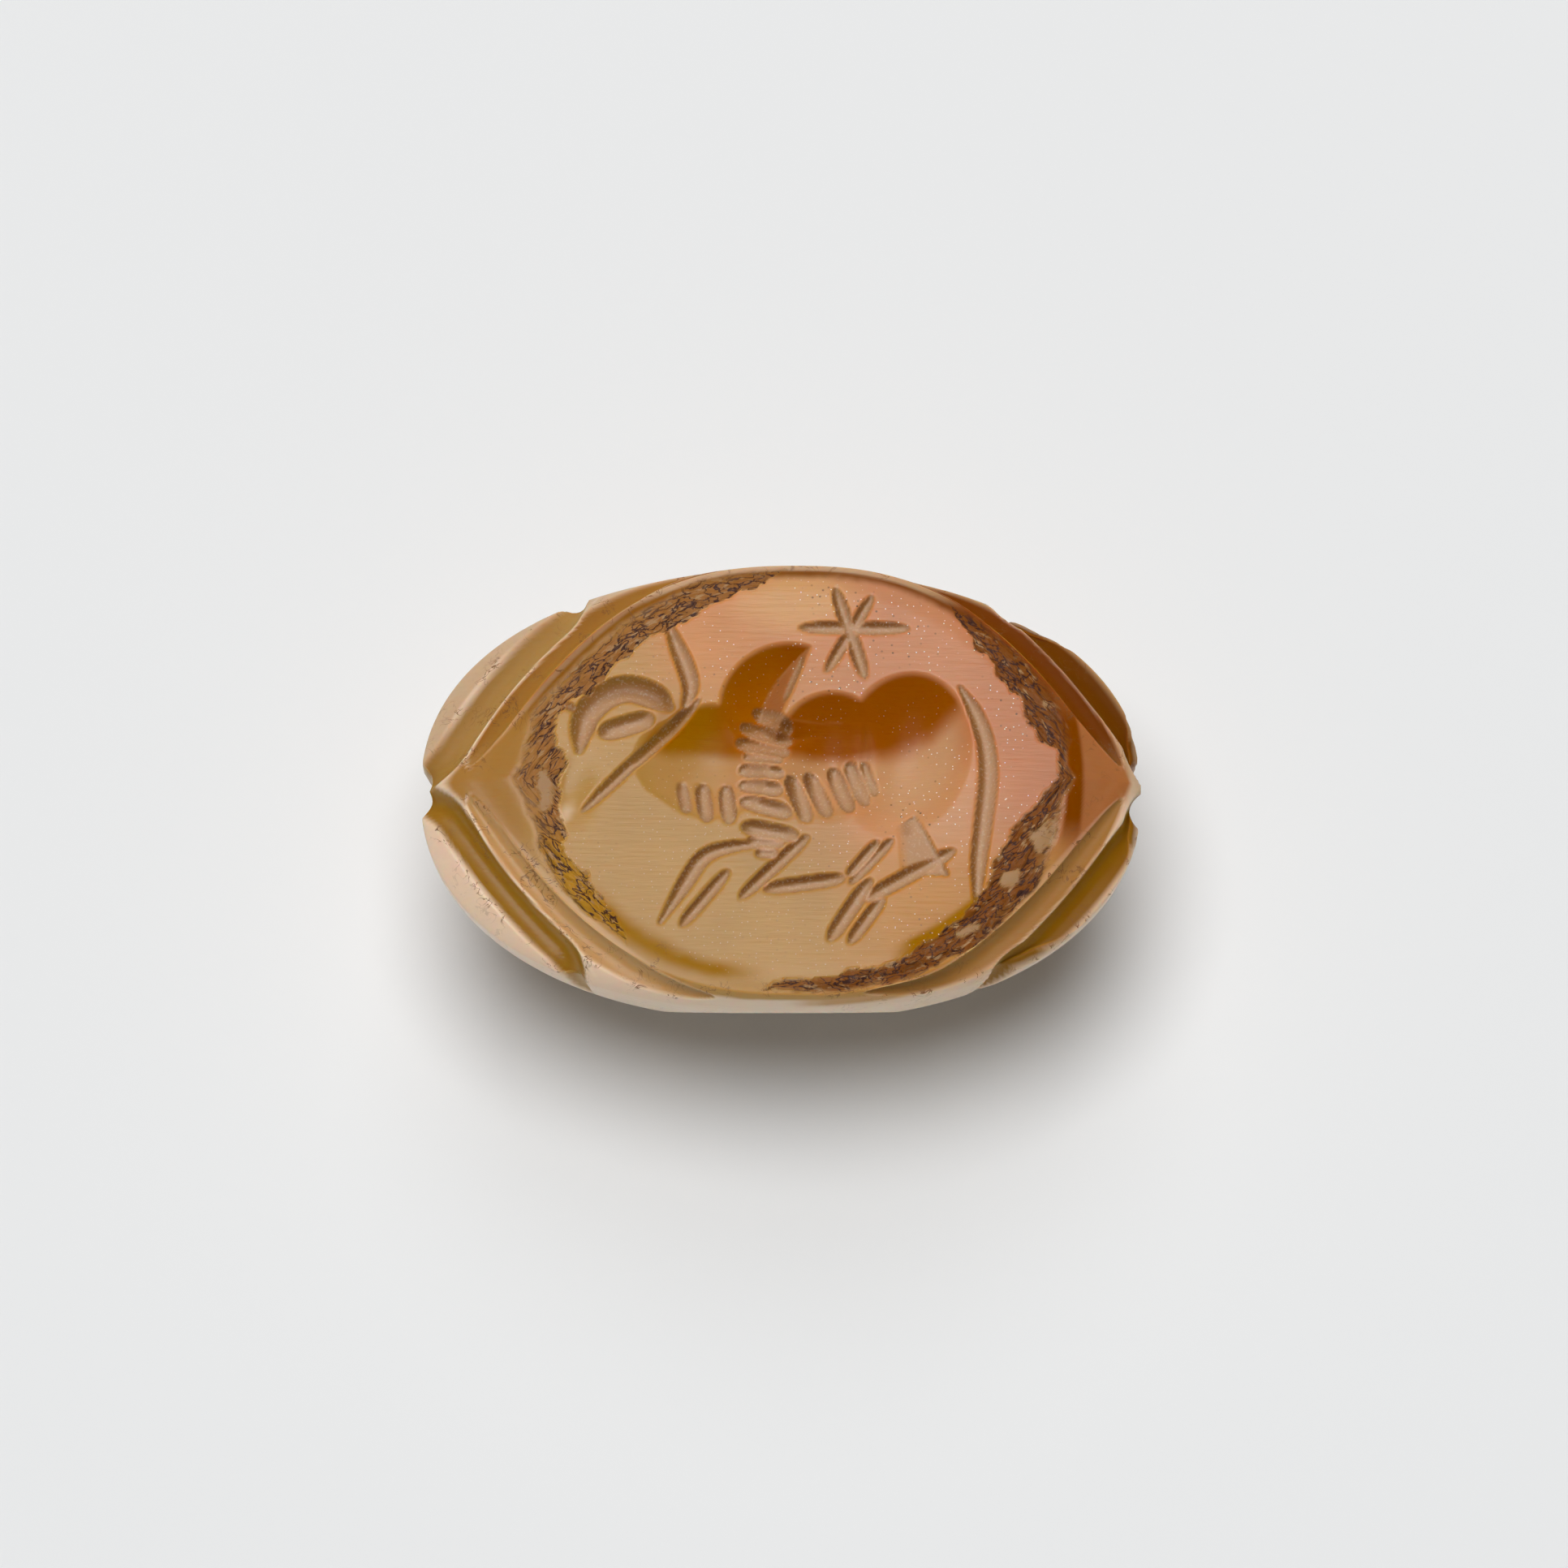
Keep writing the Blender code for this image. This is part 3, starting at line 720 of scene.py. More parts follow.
cuts = [wheel_cut(*cut) for cut in RIBS + MANE + STAR + OTHER_CUTS]
cuts += [bent_cut(*cut) for cut in BENT_CUTS]
cuts.append(thigh)
hollow_depth = hollows.mean(0) * TENTH
stroke_depth = (CUT_SHARE * np.max(cuts, axis=0)).mean(0) * TENTH
print("deepest cut in mm:", (hollow_depth + stroke_depth).max().round(2))

# %% [markdown]
# Noise gives wear its irregular look. Random numbers sit on the corners of a lattice, and a point takes a
# smooth blend of the eight corners round it. Summing finer and fainter lattices gives rougher noise.

# %% Noise
LATTICE = 32
FAINTER = 0.6


def soft_noise(points, size, seed):
    """Smooth random values from -1 to 1, with bumps about one size across.

    Each is a sum over the eight corners round it: the corner's number times the product of three shares.
    """
    table = np.random.default_rng(seed).uniform(-1, 1, (LATTICE, LATTICE, LATTICE))
    cell = np.floor(points / size).astype(int)
    share = points / size - cell
    share = share * share * (3 - 2 * share)
    total = np.zeros(len(points))
    for corner in itertools.product((0, 1), repeat=3):
        weight = np.prod(np.where(corner, share, 1 - share), axis=-1)
        index = (cell + corner) % LATTICE
        total += weight * table[index[:, 0], index[:, 1], index[:, 2]]
    return total


def rough_noise(points, size, seed, layers=4):
    """Layers of noise, each half the size of the one before and fainter by a constant share."""
    return sum(FAINTER**i * soft_noise(points, size / 2**i, seed + i) for i in range(layers))


def smooth_step(low, high, value):
    """0 below low, 1 above high, and t * t * (3 - 2 * t) between them, with t the share of the way."""
    share = np.clip((value - low) / (high - low), 0, 1)
    return share * share * (3 - 2 * share)


print("steps from 0 to 1:", smooth_step(0, 1, np.linspace(0, 1, 5)).round(2))

# %% [markdown]
# Use has chipped the stone where the level face met a narrow bevel, and old earth has stuck in the chips.
# The band of crust is given by its inner and outer edge, as shares of the way to the face's edge, at chosen
# turns in degrees. Noise makes both edges ragged, and the band is missing at the top and the bottom of the
# face. The crust is thick at its inner side and thins out towards the bevel, where a third of its cover is
# left, and a few chips inside it show bare stone.
#
# Its wrinkles run along the band. So their noise is read in band places, where the way round the face is
# shrunk to a small circle and the third number is the distance to the face's edge. A circle has no seam.

# %% The crust
CRUST_BAND = (
    (-180, 0.735, 0.88), (-175, 0.75, 0.885), (-170, 0.81, 0.91), (-162, 0.855, 0.955), (-150, 0.865, 0.97),
    (-141, 0.885, 0.97), (-133, 0.98, 0.975), (-105, 0.99, 0.97), (-94, 0.945, 0.985), (-80, 0.915, 1.0),
    (-62, 0.91, 1.0), (-50, 0.885, 1.0), (-40, 0.87, 1.0), (-26, 0.82, 0.99), (-14, 0.77, 0.94),
    (-4, 0.81, 0.87), (3, 0.83, 0.87), (10, 0.835, 0.94), (16, 0.84, 0.975), (24, 0.86, 0.985),
    (37, 0.88, 0.99), (46, 0.94, 0.99), (52, 0.99, 0.98), (88, 0.99, 0.97), (97, 0.92, 0.97),
    (112, 0.86, 0.975), (123, 0.83, 0.97), (130, 0.83, 0.96), (145, 0.81, 0.95), (158, 0.85, 0.96),
    (166, 0.86, 0.95), (172, 0.82, 0.92), (176, 0.75, 0.89), (180, 0.735, 0.88),
)
CLEAN_CHIPS = (
    ((7.6, -1.75), 0.45, 0.7, -35), ((6.7, -3.1), 0.25, 0.45, -50), ((-6.95, -0.1), 0.26, 0.75, 8),
    ((5.3, -4.75), 0.6, 0.16, 30), ((2.3, -5.75), 0.55, 0.12, 8), ((-6.2, 3.5), 0.7, 0.18, 42),
)
CHIP_FADE = (0.8, 1.05)
CHIP_RAGGED = 0.45
BAND_RADIUS = 2.6
RAGGED = 0.022
THIN_COVER = 0.35
CRUST_DROP = 0.06
CRUMBLE_HEIGHT = 0.07
BEVEL_SHARES = (0.86, 1.02)
BEVEL_DROP = 0.12
POINT_BEVEL_DROP = 0.16
POINT_BEVEL_POWER = 12


def chip_share(centre, half_x, half_y, turn):
    """1 - a smooth step of r over the chips' fade, where r = |place / half sizes| plus a little noise."""
    along, across = turned(face_base[:, 0], face_base[:, 1], centre, turn)
    r = np.hypot(along / half_x, across / half_y) + CHIP_RAGGED * rough_noise(face_base, 0.5, seed=77)
    return 1 - smooth_step(*CHIP_FADE, r)


def bevel_drop(angle, share):
    """(drop + point drop * cos(angle) ** power) * a smooth step over the bevel's shares of the way out."""
    full = BEVEL_DROP + POINT_BEVEL_DROP * np.cos(angle) ** POINT_BEVEL_POWER
    return full * smooth_step(*BEVEL_SHARES, share)


from_edge = pointed_oval_radius(face_angle, *HALF_FACE) - face_radius
band_place = np.stack([BAND_RADIUS * np.cos(face_angle), BAND_RADIUS * np.sin(face_angle), from_edge], -1)
band_turn, band_inner, band_outer = np.array(CRUST_BAND).T
turn_here = np.degrees(face_angle)
ragged = RAGGED * rough_noise(face_base, 0.8, seed=11, layers=5)
inner_here = np.interp(turn_here, band_turn, band_inner) + ragged
outer_here = np.interp(turn_here, band_turn, band_outer) + 0.5 * ragged
across_band = (face_share - inner_here) / np.maximum(outer_here - inner_here, 0.01)
crust = smooth_step(0, 0.01, face_share - inner_here) * smooth_step(-0.01, 0.02, outer_here - face_share)
chips = np.max([chip_share(*chip) for chip in CLEAN_CHIPS], axis=0)
thick = smooth_step(1.2, 0.6, across_band + 0.3 * rough_noise(band_place, 0.6, seed=31))
crust_cover = crust * (1 - chips) * (THIN_COVER + (1 - THIN_COVER) * thick)
crumble = 1 - 2 * np.abs(rough_noise(band_place, 0.45, seed=21)) + 0.3 * soft_noise(face_base, 0.16, seed=27)
crust_drop = crust * (CRUST_DROP + CRUMBLE_HEIGHT * crumble * crust_cover)
print("share of the face under crust:", crust.mean().round(3))

# %% [markdown]
# Now the points move. The face goes straight down by the depth of its cuts. The skirt goes in by the depth
# of the grooves, and takes on the bevel's drop next to the face. No point may leave the solid's box.

# %% Carved points
bevel_rows = np.where(skirt_levels < 1, (1 - np.minimum(skirt_levels, 1)) ** 2, 0)
face_cut = hollow_depth + stroke_depth + crust_drop + bevel_drop(face_angle, face_share)
face_points = face_base.copy()
face_points[:, 2] -= np.maximum(face_cut, face_groove)
skirt_points = skirt_base.reshape(-1, 3) - skirt_normal.reshape(-1, 3) * skirt_groove[:, None]
skirt_points[:, 2] -= (bevel_rows[:, None] * bevel_drop(skirt_angle, 1.0)[None, :]).reshape(-1)
back_points = back_base.reshape(-1, 3)
flat_middle = np.array([[0, 0, 0.0]])
points = np.concatenate([face_points, skirt_points, back_points, flat_middle])
points = np.clip(points, LOWEST, HIGHEST)
print("points:", len(points))

# %% [markdown]
# The skin's cells are quads. Where a fine ring of points meets one with half as many, three triangles join
# each two steps of the one to a step of the other, and a fan of triangles closes the small flat underneath.

# %% The skin
def quads_of(index):
    """Four corners for every cell of a grid of indices."""
    return np.stack([index[:-1, :-1], index[1:, :-1], index[1:, 1:], index[:-1, 1:]], -1).reshape(-1, 4)


def closed_rings(first, count, columns):
    """Indices of a grid of rings, with the first column repeated at the end."""
    rings = first + np.arange(count * columns).reshape(count, columns)
    return np.concatenate([rings, rings[:, :1]], 1)


def halving_fan(fine, coarse):
    """Three triangles for each two steps of a fine ring and one step of a coarse ring below it."""
    a, b, c = fine[:-1:2], fine[1::2], fine[2::2]
    d, e = coarse[:-1], coarse[1:]
    return np.concatenate([np.stack(corner, -1) for corner in ((a, d, b), (b, d, e), (b, e, c))])


def skin_faces():
    """Quads and triangles of the closed skin, all turned outwards."""
    face_index = np.arange(len(face_points)).reshape(CELLS_ALONG + 1, CELLS_ACROSS + 1)
    skirt = closed_rings(len(face_points), len(skirt_levels), len(skirt_angle))
    lower = closed_rings(len(face_points) + len(skirt_points), len(back_levels), len(back_angle))
    quads = np.concatenate([quads_of(face_index), quads_of(skirt), quads_of(lower)])
    rim_ring = np.append(rim, rim[0])
    last, following = lower[-1, :-1], lower[-1, 1:]
    closing = np.stack([last, np.full(len(last), len(points) - 1), following], -1)
    triangles = np.concatenate([halving_fan(rim_ring, skirt[0]), halving_fan(skirt[-1], lower[0]), closing])
    return quads.tolist() + triangles.tolist()


mesh = bpy.data.meshes.new("carved_seal")
mesh.from_pydata((points * MM).tolist(), [], skin_faces())
mesh.validate()
mesh.update()
mesh.shade_smooth()
print("triangles:", sum(len(p.vertices) - 2 for p in mesh.polygons))

# %% [markdown]
# The stone's own colour changes from tan at the left to salmon at the right. Each region gets one named
# colour, in Blender's linear values, and smooth masks mix them, one layer over the other. Noise keeps the
# borders soft and cloudy, as they are in the real stone.

# %% Colours of the face
TAN = (0.470, 0.255, 0.058)
PEACH = (0.610, 0.250, 0.058)
PALE_TOP = (0.650, 0.335, 0.120)
SALMON = (0.570, 0.232, 0.092)
FAR_SALMON = (0.500, 0.180, 0.062)
LOW_RIGHT = (0.480, 0.200, 0.016)
PALE_TAN = (0.600, 0.310, 0.135)
UNDER_STAR = {"centre": (0.4, 5.6), "halves": (1, 0.625), "fade": (2.6, 0.6)}
BEHIND_RUMP = {"centre": (4.3, -0.6), "halves": (1, 0.91), "fade": (3.0, 0.8)}


def spread(values, rest):
    """One number a point for the whole skin: given on the face, and the rest elsewhere."""
    return np.concatenate([values, np.full(len(points) - len(face_points), float(rest))])


def mixed(colour, other, share):
    """colour + (other - colour) * share, point by point, with colours for all points or one for each."""
    return np.array(colour) + (np.array(other) - colour) * np.clip(share, 0, 1)[:, None]


def layered(colour, *layers):
    """The colour with each layer, a colour and its share at each point, mixed over the ones before it."""
    for other, share in layers:
        colour = mixed(colour, other, share)
    return colour


def patch(centre, halves, fade, turn=0, ragged=0):
    """A smooth oval, 0 where |place / half sizes| is above the fade's first number and 1 below its second."""
    along, across = turned(x, y, centre, turn)
    return smooth_step(*fade, np.hypot(along / halves[0], across / halves[1]) + ragged)


x, y = points[:, :2].T
normals = np.empty(len(points) * 3)
mesh.vertex_normals.foreach_get("vector", normals)
normals = normals.reshape(-1, 3)
clouds = rough_noise(points, 3.2, seed=41)
wisps = rough_noise(points, 1.1, seed=51)

right = smooth_step(-3.5, 4.5, x + 0.35 * y + 0.9 * clouds)
far_right = smooth_step(4.0, 8.0, x + 0.5 * clouds)
high = smooth_step(0.5, 4.5, y + 0.6 * clouds)
low = smooth_step(0.5, 4.5, -y)
colour = layered(
    TAN,
    (PEACH, high * smooth_step(-5.2, -2.4, x)),
    (SALMON, right * (1 - 0.75 * low)),
    (FAR_SALMON, far_right * (1 - 0.6 * low)),
    (LOW_RIGHT, low * smooth_step(0.5, 5, x)),
    (PALE_TOP, patch(**UNDER_STAR)),
    (PALE_TAN, 0.6 * patch(**BEHIND_RUMP, ragged=0.2 * clouds)),
)
colour = colour * (1 + 0.05 * clouds + 0.03 * wisps)[:, None]
print("mean colour of the face:", colour[: len(face_points)].mean(0).round(3))

# %% [markdown]
# In the big hollows the deep amber of the stone shows above a soft line that runs along the bull's flank.
# The amber is partly the stone's own colour and partly painted shade on the far walls, which face away from
# the light, and the long slope below the line is a pale painted sheen. The line is given by places along it
# and how soft it is there.

# %% Colours of the hollows
AMBER = (0.335, 0.085, 0.000)
HUMP_AMBER = (0.370, 0.108, 0.000)
OLIVE_AMBER = (0.365, 0.140, 0.000)
SLOPE_SHEEN = (0.570, 0.290, 0.120)
SLOPE_SHEEN_RIGHT = (0.610, 0.340, 0.170)
SLOPE_SHEEN_LEFT = (0.500, 0.260, 0.075)
FACET = (0.400, 0.145, 0.040)
FACET_HIGHLIGHT = (0.620, 0.320, 0.190)
AMBER_LINE = (
    (-4.5, 0.85, 0.25), (-2.0, 0.80, 0.25), (0.0, 0.78, 0.25), (1.7, 0.78, 0.28), (2.6, 0.88, 0.40),
    (3.36, 1.08, 0.50), (4.0, 1.45, 0.50), (4.5, 1.89, 0.50), (5.0, 2.30, 0.45),
)

hollow_here = spread(hollow_depth, 0)
hollowed = smooth_step(0.01, 0.12, hollow_here)
facet_here = spread(faceted, 0) * hollowed * smooth_step(1.8, 2.15, y)
# a painted highlight along the edge of the hump's facet
facet_line = smooth_step(0.10, 0.03, np.abs(x - FACE_OFF_CENTRE - 0.42 * (y - 2.6) - 0.02))
left_part = smooth_step(-1.3, -2.6, x + 0.25 * clouds)
hump_part = smooth_step(0.5, -0.6, x + 0.2 * clouds)
amber = layered(AMBER, (HUMP_AMBER, hump_part), (OLIVE_AMBER, left_part))
# a pale painted sheen for the slope below the amber line
pale = layered(SLOPE_SHEEN, (SLOPE_SHEEN_LEFT, left_part), (SLOPE_SHEEN_RIGHT, smooth_step(2.2, 4.2, x)))
slope_sheen_here = smooth_step(0, np.interp(x, (1.2, 3.2), (0.15, 0.5)), hollow_here) * smooth_step(-4.4, -3.4, x)
line_x, line_y, line_width = np.array(AMBER_LINE).T
above_line = y + 0.06 * wisps - np.interp(x - FACE_OFF_CENTRE, line_x, line_y)
above_line = smooth_step(-1, 1, above_line / np.interp(x - FACE_OFF_CENTRE, line_x, line_width))
# the amber above the line: the stone's colour, and painted shade on the far walls
deep = hollowed * above_line * (1 - facet_here)
colour = layered(
    colour,
    (pale, 0.85 * slope_sheen_here * (1 - above_line)),
    (amber, deep),
    (FACET, facet_here),
    (FACET_HIGHLIGHT, 0.7 * facet_here * facet_line * smooth_step(3.9, 3.2, y)),
)
print("share of the face in deep amber:", deep[: len(face_points)].mean().round(3))

# %% [markdown]
# A wheel cut is frosted along its floor. Its walls and edges are painted with shade: brown where they are
# steep or near the edge, and darkest at its upper left, because it faces away from the light. The outer wall
# of the head's crescent gets the same dark olive shade. The bull's cheek is olive, and the face is bright
# under its muzzle.

# %% Colours of the cuts
FROSTED = (0.530, 0.305, 0.165)
WALL_SHADE_BROWN = (0.290, 0.118, 0.024)
WALL_SHADE_DARK = (0.190, 0.062, 0.006)
WALL_SHADE_OLIVE = (0.290, 0.130, 0.010)
BRIGHT = (0.800, 0.620, 0.450)
FULL_CUT = 2.6
HEAD_MIDDLE = (-4.55, 1.2)
UNDER_MUZZLE = {"centre": (-6.25, -1.05), "halves": (0.6, 0.35), "turn": 55, "fade": (1.1, 0.1)}
CHEEK = {"centre": (-3.35, 1.85), "halves": (1.1, 0.42), "turn": 44, "fade": (1.0, 0.3)}

on_face = spread(np.ones(len(face_points)), 0)
stroke_here = spread(stroke_depth, 0)
stroked = smooth_step(0.004, 0.05, stroke_here)
tilt = np.hypot(normals[:, 0], normals[:, 1])
lean_front = -normals[:, 1]
shade_side = smooth_step(-0.2, 0.6, (0.6 * lean_front + 0.8 * normals[:, 0]) / np.maximum(tilt, 0.05))
in_head = smooth_step(-2.9, -3.4, x)
# painted shade on the cut's walls: darker where steep and on the side away from the light
dark_wall_shade = mixed(WALL_SHADE_DARK, WALL_SHADE_OLIVE, in_head)
wall = mixed(WALL_SHADE_BROWN, dark_wall_shade, shade_side * smooth_step(0.45, 0.75, tilt))
rise = stroke_here / (FULL_CUT * CUT_SHARE * TENTH)
shaded_wall = shade_side * smooth_step(0.1, 0.42, tilt)
# painted shade on the lit side's steep walls and near the cut's shallow edges
lit_side_wall_shade = (1 - shade_side) * (0.5 * smooth_step(0.45, 0.8, tilt) + 0.5 * smooth_step(0.5, 0.25, rise))
head_radius = np.hypot(x - HEAD_MIDDLE[0], y - HEAD_MIDDLE[1])
# painted dark olive shade on the outer wall of the head's crescent
head_wall_shade = in_head * smooth_step(0.4, 1.4, y)
head_wall_shade = head_wall_shade * smooth_step(1.2, 1.6, head_radius) * smooth_step(2.3, 2.1, head_radius)
any_wall_shade = np.maximum.reduce([shaded_wall, lit_side_wall_shade, head_wall_shade])
stroke = layered(FROSTED, (amber, 0.3 * deep), (wall, 0.9 * any_wall_shade))
cheek = patch(**CHEEK) * smooth_step(-2.6, -3.0, x)
colour = layered(
    colour,
    (stroke, 0.92 * stroked),
    (BRIGHT, 0.55 * on_face * patch(**UNDER_MUZZLE, ragged=0.3 * wisps)),
    (OLIVE_AMBER, 0.6 * on_face * cheek * (1 - stroked)),
)
print("share of the face in cuts:", stroked[: len(face_points)].mean().round(3))

# %% [markdown]
# The rim's colours follow its shape. So the first step is to know, at each point, how far out on the face it
# is, its level on the skirt, whether it is in a groove, on a groove's lip or on a thin ridge between two
# grooves, and how far up and to the right it is.

# %% Places on the rim
CREST_FADE = (0.14, 0.03)

rest_count = len(back_points) + 1
on_skirt = slice(len(face_points), -rest_count)
share_out = spread(face_share, 1)
level_here = spread(np.zeros(len(face_points)), 2)
level_here[on_skirt] = np.repeat(skirt_levels, len(skirt_angle))
inner_reach = spread(face_inner_reach, FAR_REACH)
inner_reach[on_skirt] = skirt_inner_reach
outer_reach = np.full(len(points), FAR_REACH)
outer_reach[on_skirt] = skirt_outer_reach

nearest_reach = np.minimum(inner_reach, outer_reach)
grooved = smooth_step(1.06, 0.78, nearest_reach)
lip = smooth_step(0.84, 0.98, nearest_reach) * smooth_step(1.35, 1.1, nearest_reach)
past_outer = (outer_reach - 1) * OUTER_GROOVE_RADIUS
off_crest = np.abs((inner_reach - 1) * INNER_GROOVE_RADIUS - past_outer)
crest = smooth_step(*CREST_FADE, off_crest) * smooth_step(2.2, 1.5, inner_reach)
past_inner = smooth_step(*CREST_FADE, np.abs(past_outer)) * smooth_step(1.0, 1.6, inner_reach)
ridge = np.maximum(crest, past_inner * smooth_step(0.85, 0.65, level_here))
upper = smooth_step(-0.8, 1.6, y)
to_right = smooth_step(-4.0, 3.5, x + 0.5 * clouds)
print("share of the skin in grooves:", grooved.mean().round(3))

# %% [markdown]
# The bevel and the grooves are amber along the top and more olive below. The pale cream of the shell outside
# them is painted light: it stands in for light that glows back out through the thin stone. The thin ridges
# get a painted highlight, and the lower grooves' walls that lean towards the front are painted lighter.

# %% Colours of the rim
BEVEL = {"upper left": (0.270, 0.100, 0.006), "upper right": (0.210, 0.055, 0.004)}
BEVEL_BELOW = (0.480, 0.275, 0.095)
INNER_GROOVE = {
    "upper left": (0.380, 0.170, 0.030), "upper right": (0.195, 0.047, 0.002),
    "lower left": (0.560, 0.310, 0.115), "lower right": (0.400, 0.190, 0.050),
}
OUTER_GROOVE = {
    "upper left": (0.430, 0.235, 0.070), "upper right": (0.165, 0.046, 0.001),
    "lower left": (0.340, 0.160, 0.012), "lower right": (0.270, 0.110, 0.003),
}
GROOVE_WALL_LIGHT = (0.640, 0.410, 0.200)
# the shell's pale colours stand in for light glowing back out through the thin stone
SHELL_GLOW = (0.780, 0.580, 0.420)
SHELL_GLOW_UPPER = (0.580, 0.390, 0.240)
SHELL_GLOW_RIGHT = (0.440, 0.255, 0.110)
RIM_AMBER = (0.480, 0.230, 0.055)


def by_side(colours, part):
    """Mix of a part's left and right colour by place."""
    return mixed(colours[part + " left"], colours[part + " right"], to_right)


def by_quarter(colours):
    """Mix of four named colours by place."""
    return mixed(by_side(colours, "lower"), by_side(colours, "upper"), upper)


bevel = mixed(by_side(BEVEL, "upper"), BEVEL_BELOW, 1 - upper)
# painted light on the lower grooves' walls that lean towards the front
groove_wall_light = (1 - upper) * smooth_step(0.45, 0.8, lean_front) * (1 - 0.8 * to_right)
nearer_outer = smooth_step(-0.1, 0.1, inner_reach - outer_reach)
groove = layered(
    by_quarter(INNER_GROOVE),
    (by_quarter(OUTER_GROOVE), nearer_outer),
    (GROOVE_WALL_LIGHT, 0.35 * groove_wall_light),
)
rim_amber = smooth_step(0.2, 1.6, x + 0.3 * wisps) * smooth_step(6.8, 5.4, x) * smooth_step(-4.8, -5.5, y)
shell = layered(
    SHELL_GLOW,
    (SHELL_GLOW_UPPER, upper),
    (SHELL_GLOW_RIGHT, smooth_step(0, 8, x) * (0.25 + 0.65 * upper)),
    (RIM_AMBER, 0.8 * rim_amber * smooth_step(0.95, 0.75, level_here)),
)
print("mean colours:", *(f"{part.mean(0).round(2)}" for part in (bevel, groove, shell)))

# %% [markdown]
# These go over the face's colour, from the bevel outwards. Each of the face's two points has a facet, and a
# dark strip lies inside the right one. An olive stain runs along the bottom of the face. The crust has its
# own brown, which turns to ochre at the lower left.

# %% Rim, stains and crust
FACET_LEFT = (0.420, 0.205, 0.045)
FACET_RIGHT = (0.410, 0.150, 0.045)
STRIP = (0.230, 0.055, 0.000)
RIDGE_HIGHLIGHT = (0.820, 0.640, 0.480)
STAIN = (0.360, 0.160, 0.000)
CHIPPED = (0.400, 0.230, 0.105)
CRUST_LEFT = (0.350, 0.145, 0.036)
CRUST_RIGHT = (0.220, 0.068, 0.010)
OCHRE = (0.460, 0.220, 0.014)

level_face = level_here == 0
skin = smooth_step(0.35, 0.6, level_here + 0.04 * wisps + 0.2 * smooth_step(5.5, 6.5, y))
bevelled = smooth_step(0.925, 0.97, share_out + 0.01 * wisps) * (1 - skin)
tip = smooth_step(7.3, 8.3, np.abs(x - FACE_OFF_CENTRE)) * (1 - skin) * smooth_step(0.82, 0.9, share_out)
strip = smooth_step(0.32, 0.18, np.abs(x - 8.55 + 0.05 * y * y)) * smooth_step(2.6, 1.4, np.abs(y - 0.3))
strip = strip * (level_here < 0.5)
top_rim = smooth_step(0.968, 0.984, share_out) * smooth_step(5.2, 6.0, y) * level_face
turn = np.degrees(np.arctan2(y, x - FACE_OFF_CENTRE))
low_stain = smooth_step(0.075, 0.0, np.abs(share_out - 0.92 + 0.01 * wisps))
low_stain = low_stain * smooth_step(34, 14, np.abs(turn + 127) + 3 * wisps)
corner_stain = smooth_step(0.05, 0.015, np.abs(share_out - 0.875))
corner_stain = corner_stain * smooth_step(17, 9, np.abs(turn + 48) + 3 * wisps)
stain = np.maximum(low_stain, corner_stain) * level_face
crusted = spread(crust_cover, 0)
under_crust = spread(crust, 0)
ochre = smooth_step(-172, -158, turn) * smooth_step(-126, -134, turn)
crust_colour = layered(CRUST_LEFT, (CRUST_RIGHT, to_right), (OCHRE, 0.9 * ochre))
colour = layered(
    colour,
    (bevel, bevelled * (0.45 + 0.5 * upper)),
    (FACET_LEFT, tip * (x < 0)),
    (FACET_RIGHT, tip * (x > 0)),
    (shell, np.maximum(skin, top_rim)),
    (groove, grooved),
    (STRIP, strip * (1 - grooved)),
    # painted highlights on the thin ridges, and faint ones on the groove lips
    (RIDGE_HIGHLIGHT, ridge * (0.7 + 0.3 * wisps) * (1 - 0.6 * to_right)),
    (RIDGE_HIGHLIGHT, 0.2 * lip * (1 - ridge) * (level_here < 0.6) * (1 - upper * to_right)),
    (STAIN, stain * (0.85 + 0.2 * wisps)),
    (mixed(bevel, FACET_LEFT, 1 - to_right), 0.8 * under_crust),
    (CHIPPED, 0.9 * spread(crust * chips, 0)),
    (crust_colour, crusted),
)
print("mean colour of the whole skin:", colour.mean(0).round(3))

# %% [markdown]
# The material reads what it needs from the points of the mesh: the colour, the band places, and how much
# crust, frosted cut, polish, dirt and sheen there is at each of them.

# %% Keep them with the mesh
skirt_round = np.tile(skirt_angle, len(skirt_levels))
skirt_place = np.stack([np.cos(skirt_round), np.sin(skirt_round), -level_here[on_skirt]], -1)
skirt_place[:, :2] *= BAND_RADIUS
open_face = level_face * smooth_step(0.95, 0.88, share_out) * (1 - tip) * (1 - under_crust) * (1 - stroked)
# polish also places the painted glints, most of them towards the upper right
polish = open_face * (0.25 + 0.75 * smooth_step(-3, 4, x + 0.8 * y)) * (1 - 0.85 * deep)
dirt = 0.8 * lip + 0.5 * bevelled + 0.7 * under_crust + 0.35 * stain + 0.25 * (level_here > 0)
rim_shade = np.maximum(bevelled, level_here > 0) * (0.3 + 0.65 * np.maximum(upper, 0.8 * to_right))
sheen = 1 - np.maximum.reduce([0.9 * deep, rim_shade, 0.6 * under_crust, stain, strip])
for name, kind, field, values in (
    ("stone_colour", "FLOAT_COLOR", "color", np.insert(np.clip(colour, 0, 1), 3, 1, axis=1)),
    ("band_place", "FLOAT_VECTOR", "vector", np.concatenate([band_place, skirt_place, points[-rest_count:]])),
    ("crusted", "FLOAT", "value", crusted),
    ("frosted", "FLOAT", "value", stroked),
    ("polished", "FLOAT", "value", polish),
    ("dirty", "FLOAT", "value", np.clip(dirt, 0, 1)),
    ("sheen", "FLOAT", "value", sheen),
):
    attribute = mesh.attributes.new(name, kind, "POINT")
    attribute.data.foreach_set(field, values.astype(np.float32).reshape(-1))
print("kept:", [a.name for a in mesh.attributes if not a.is_internal])

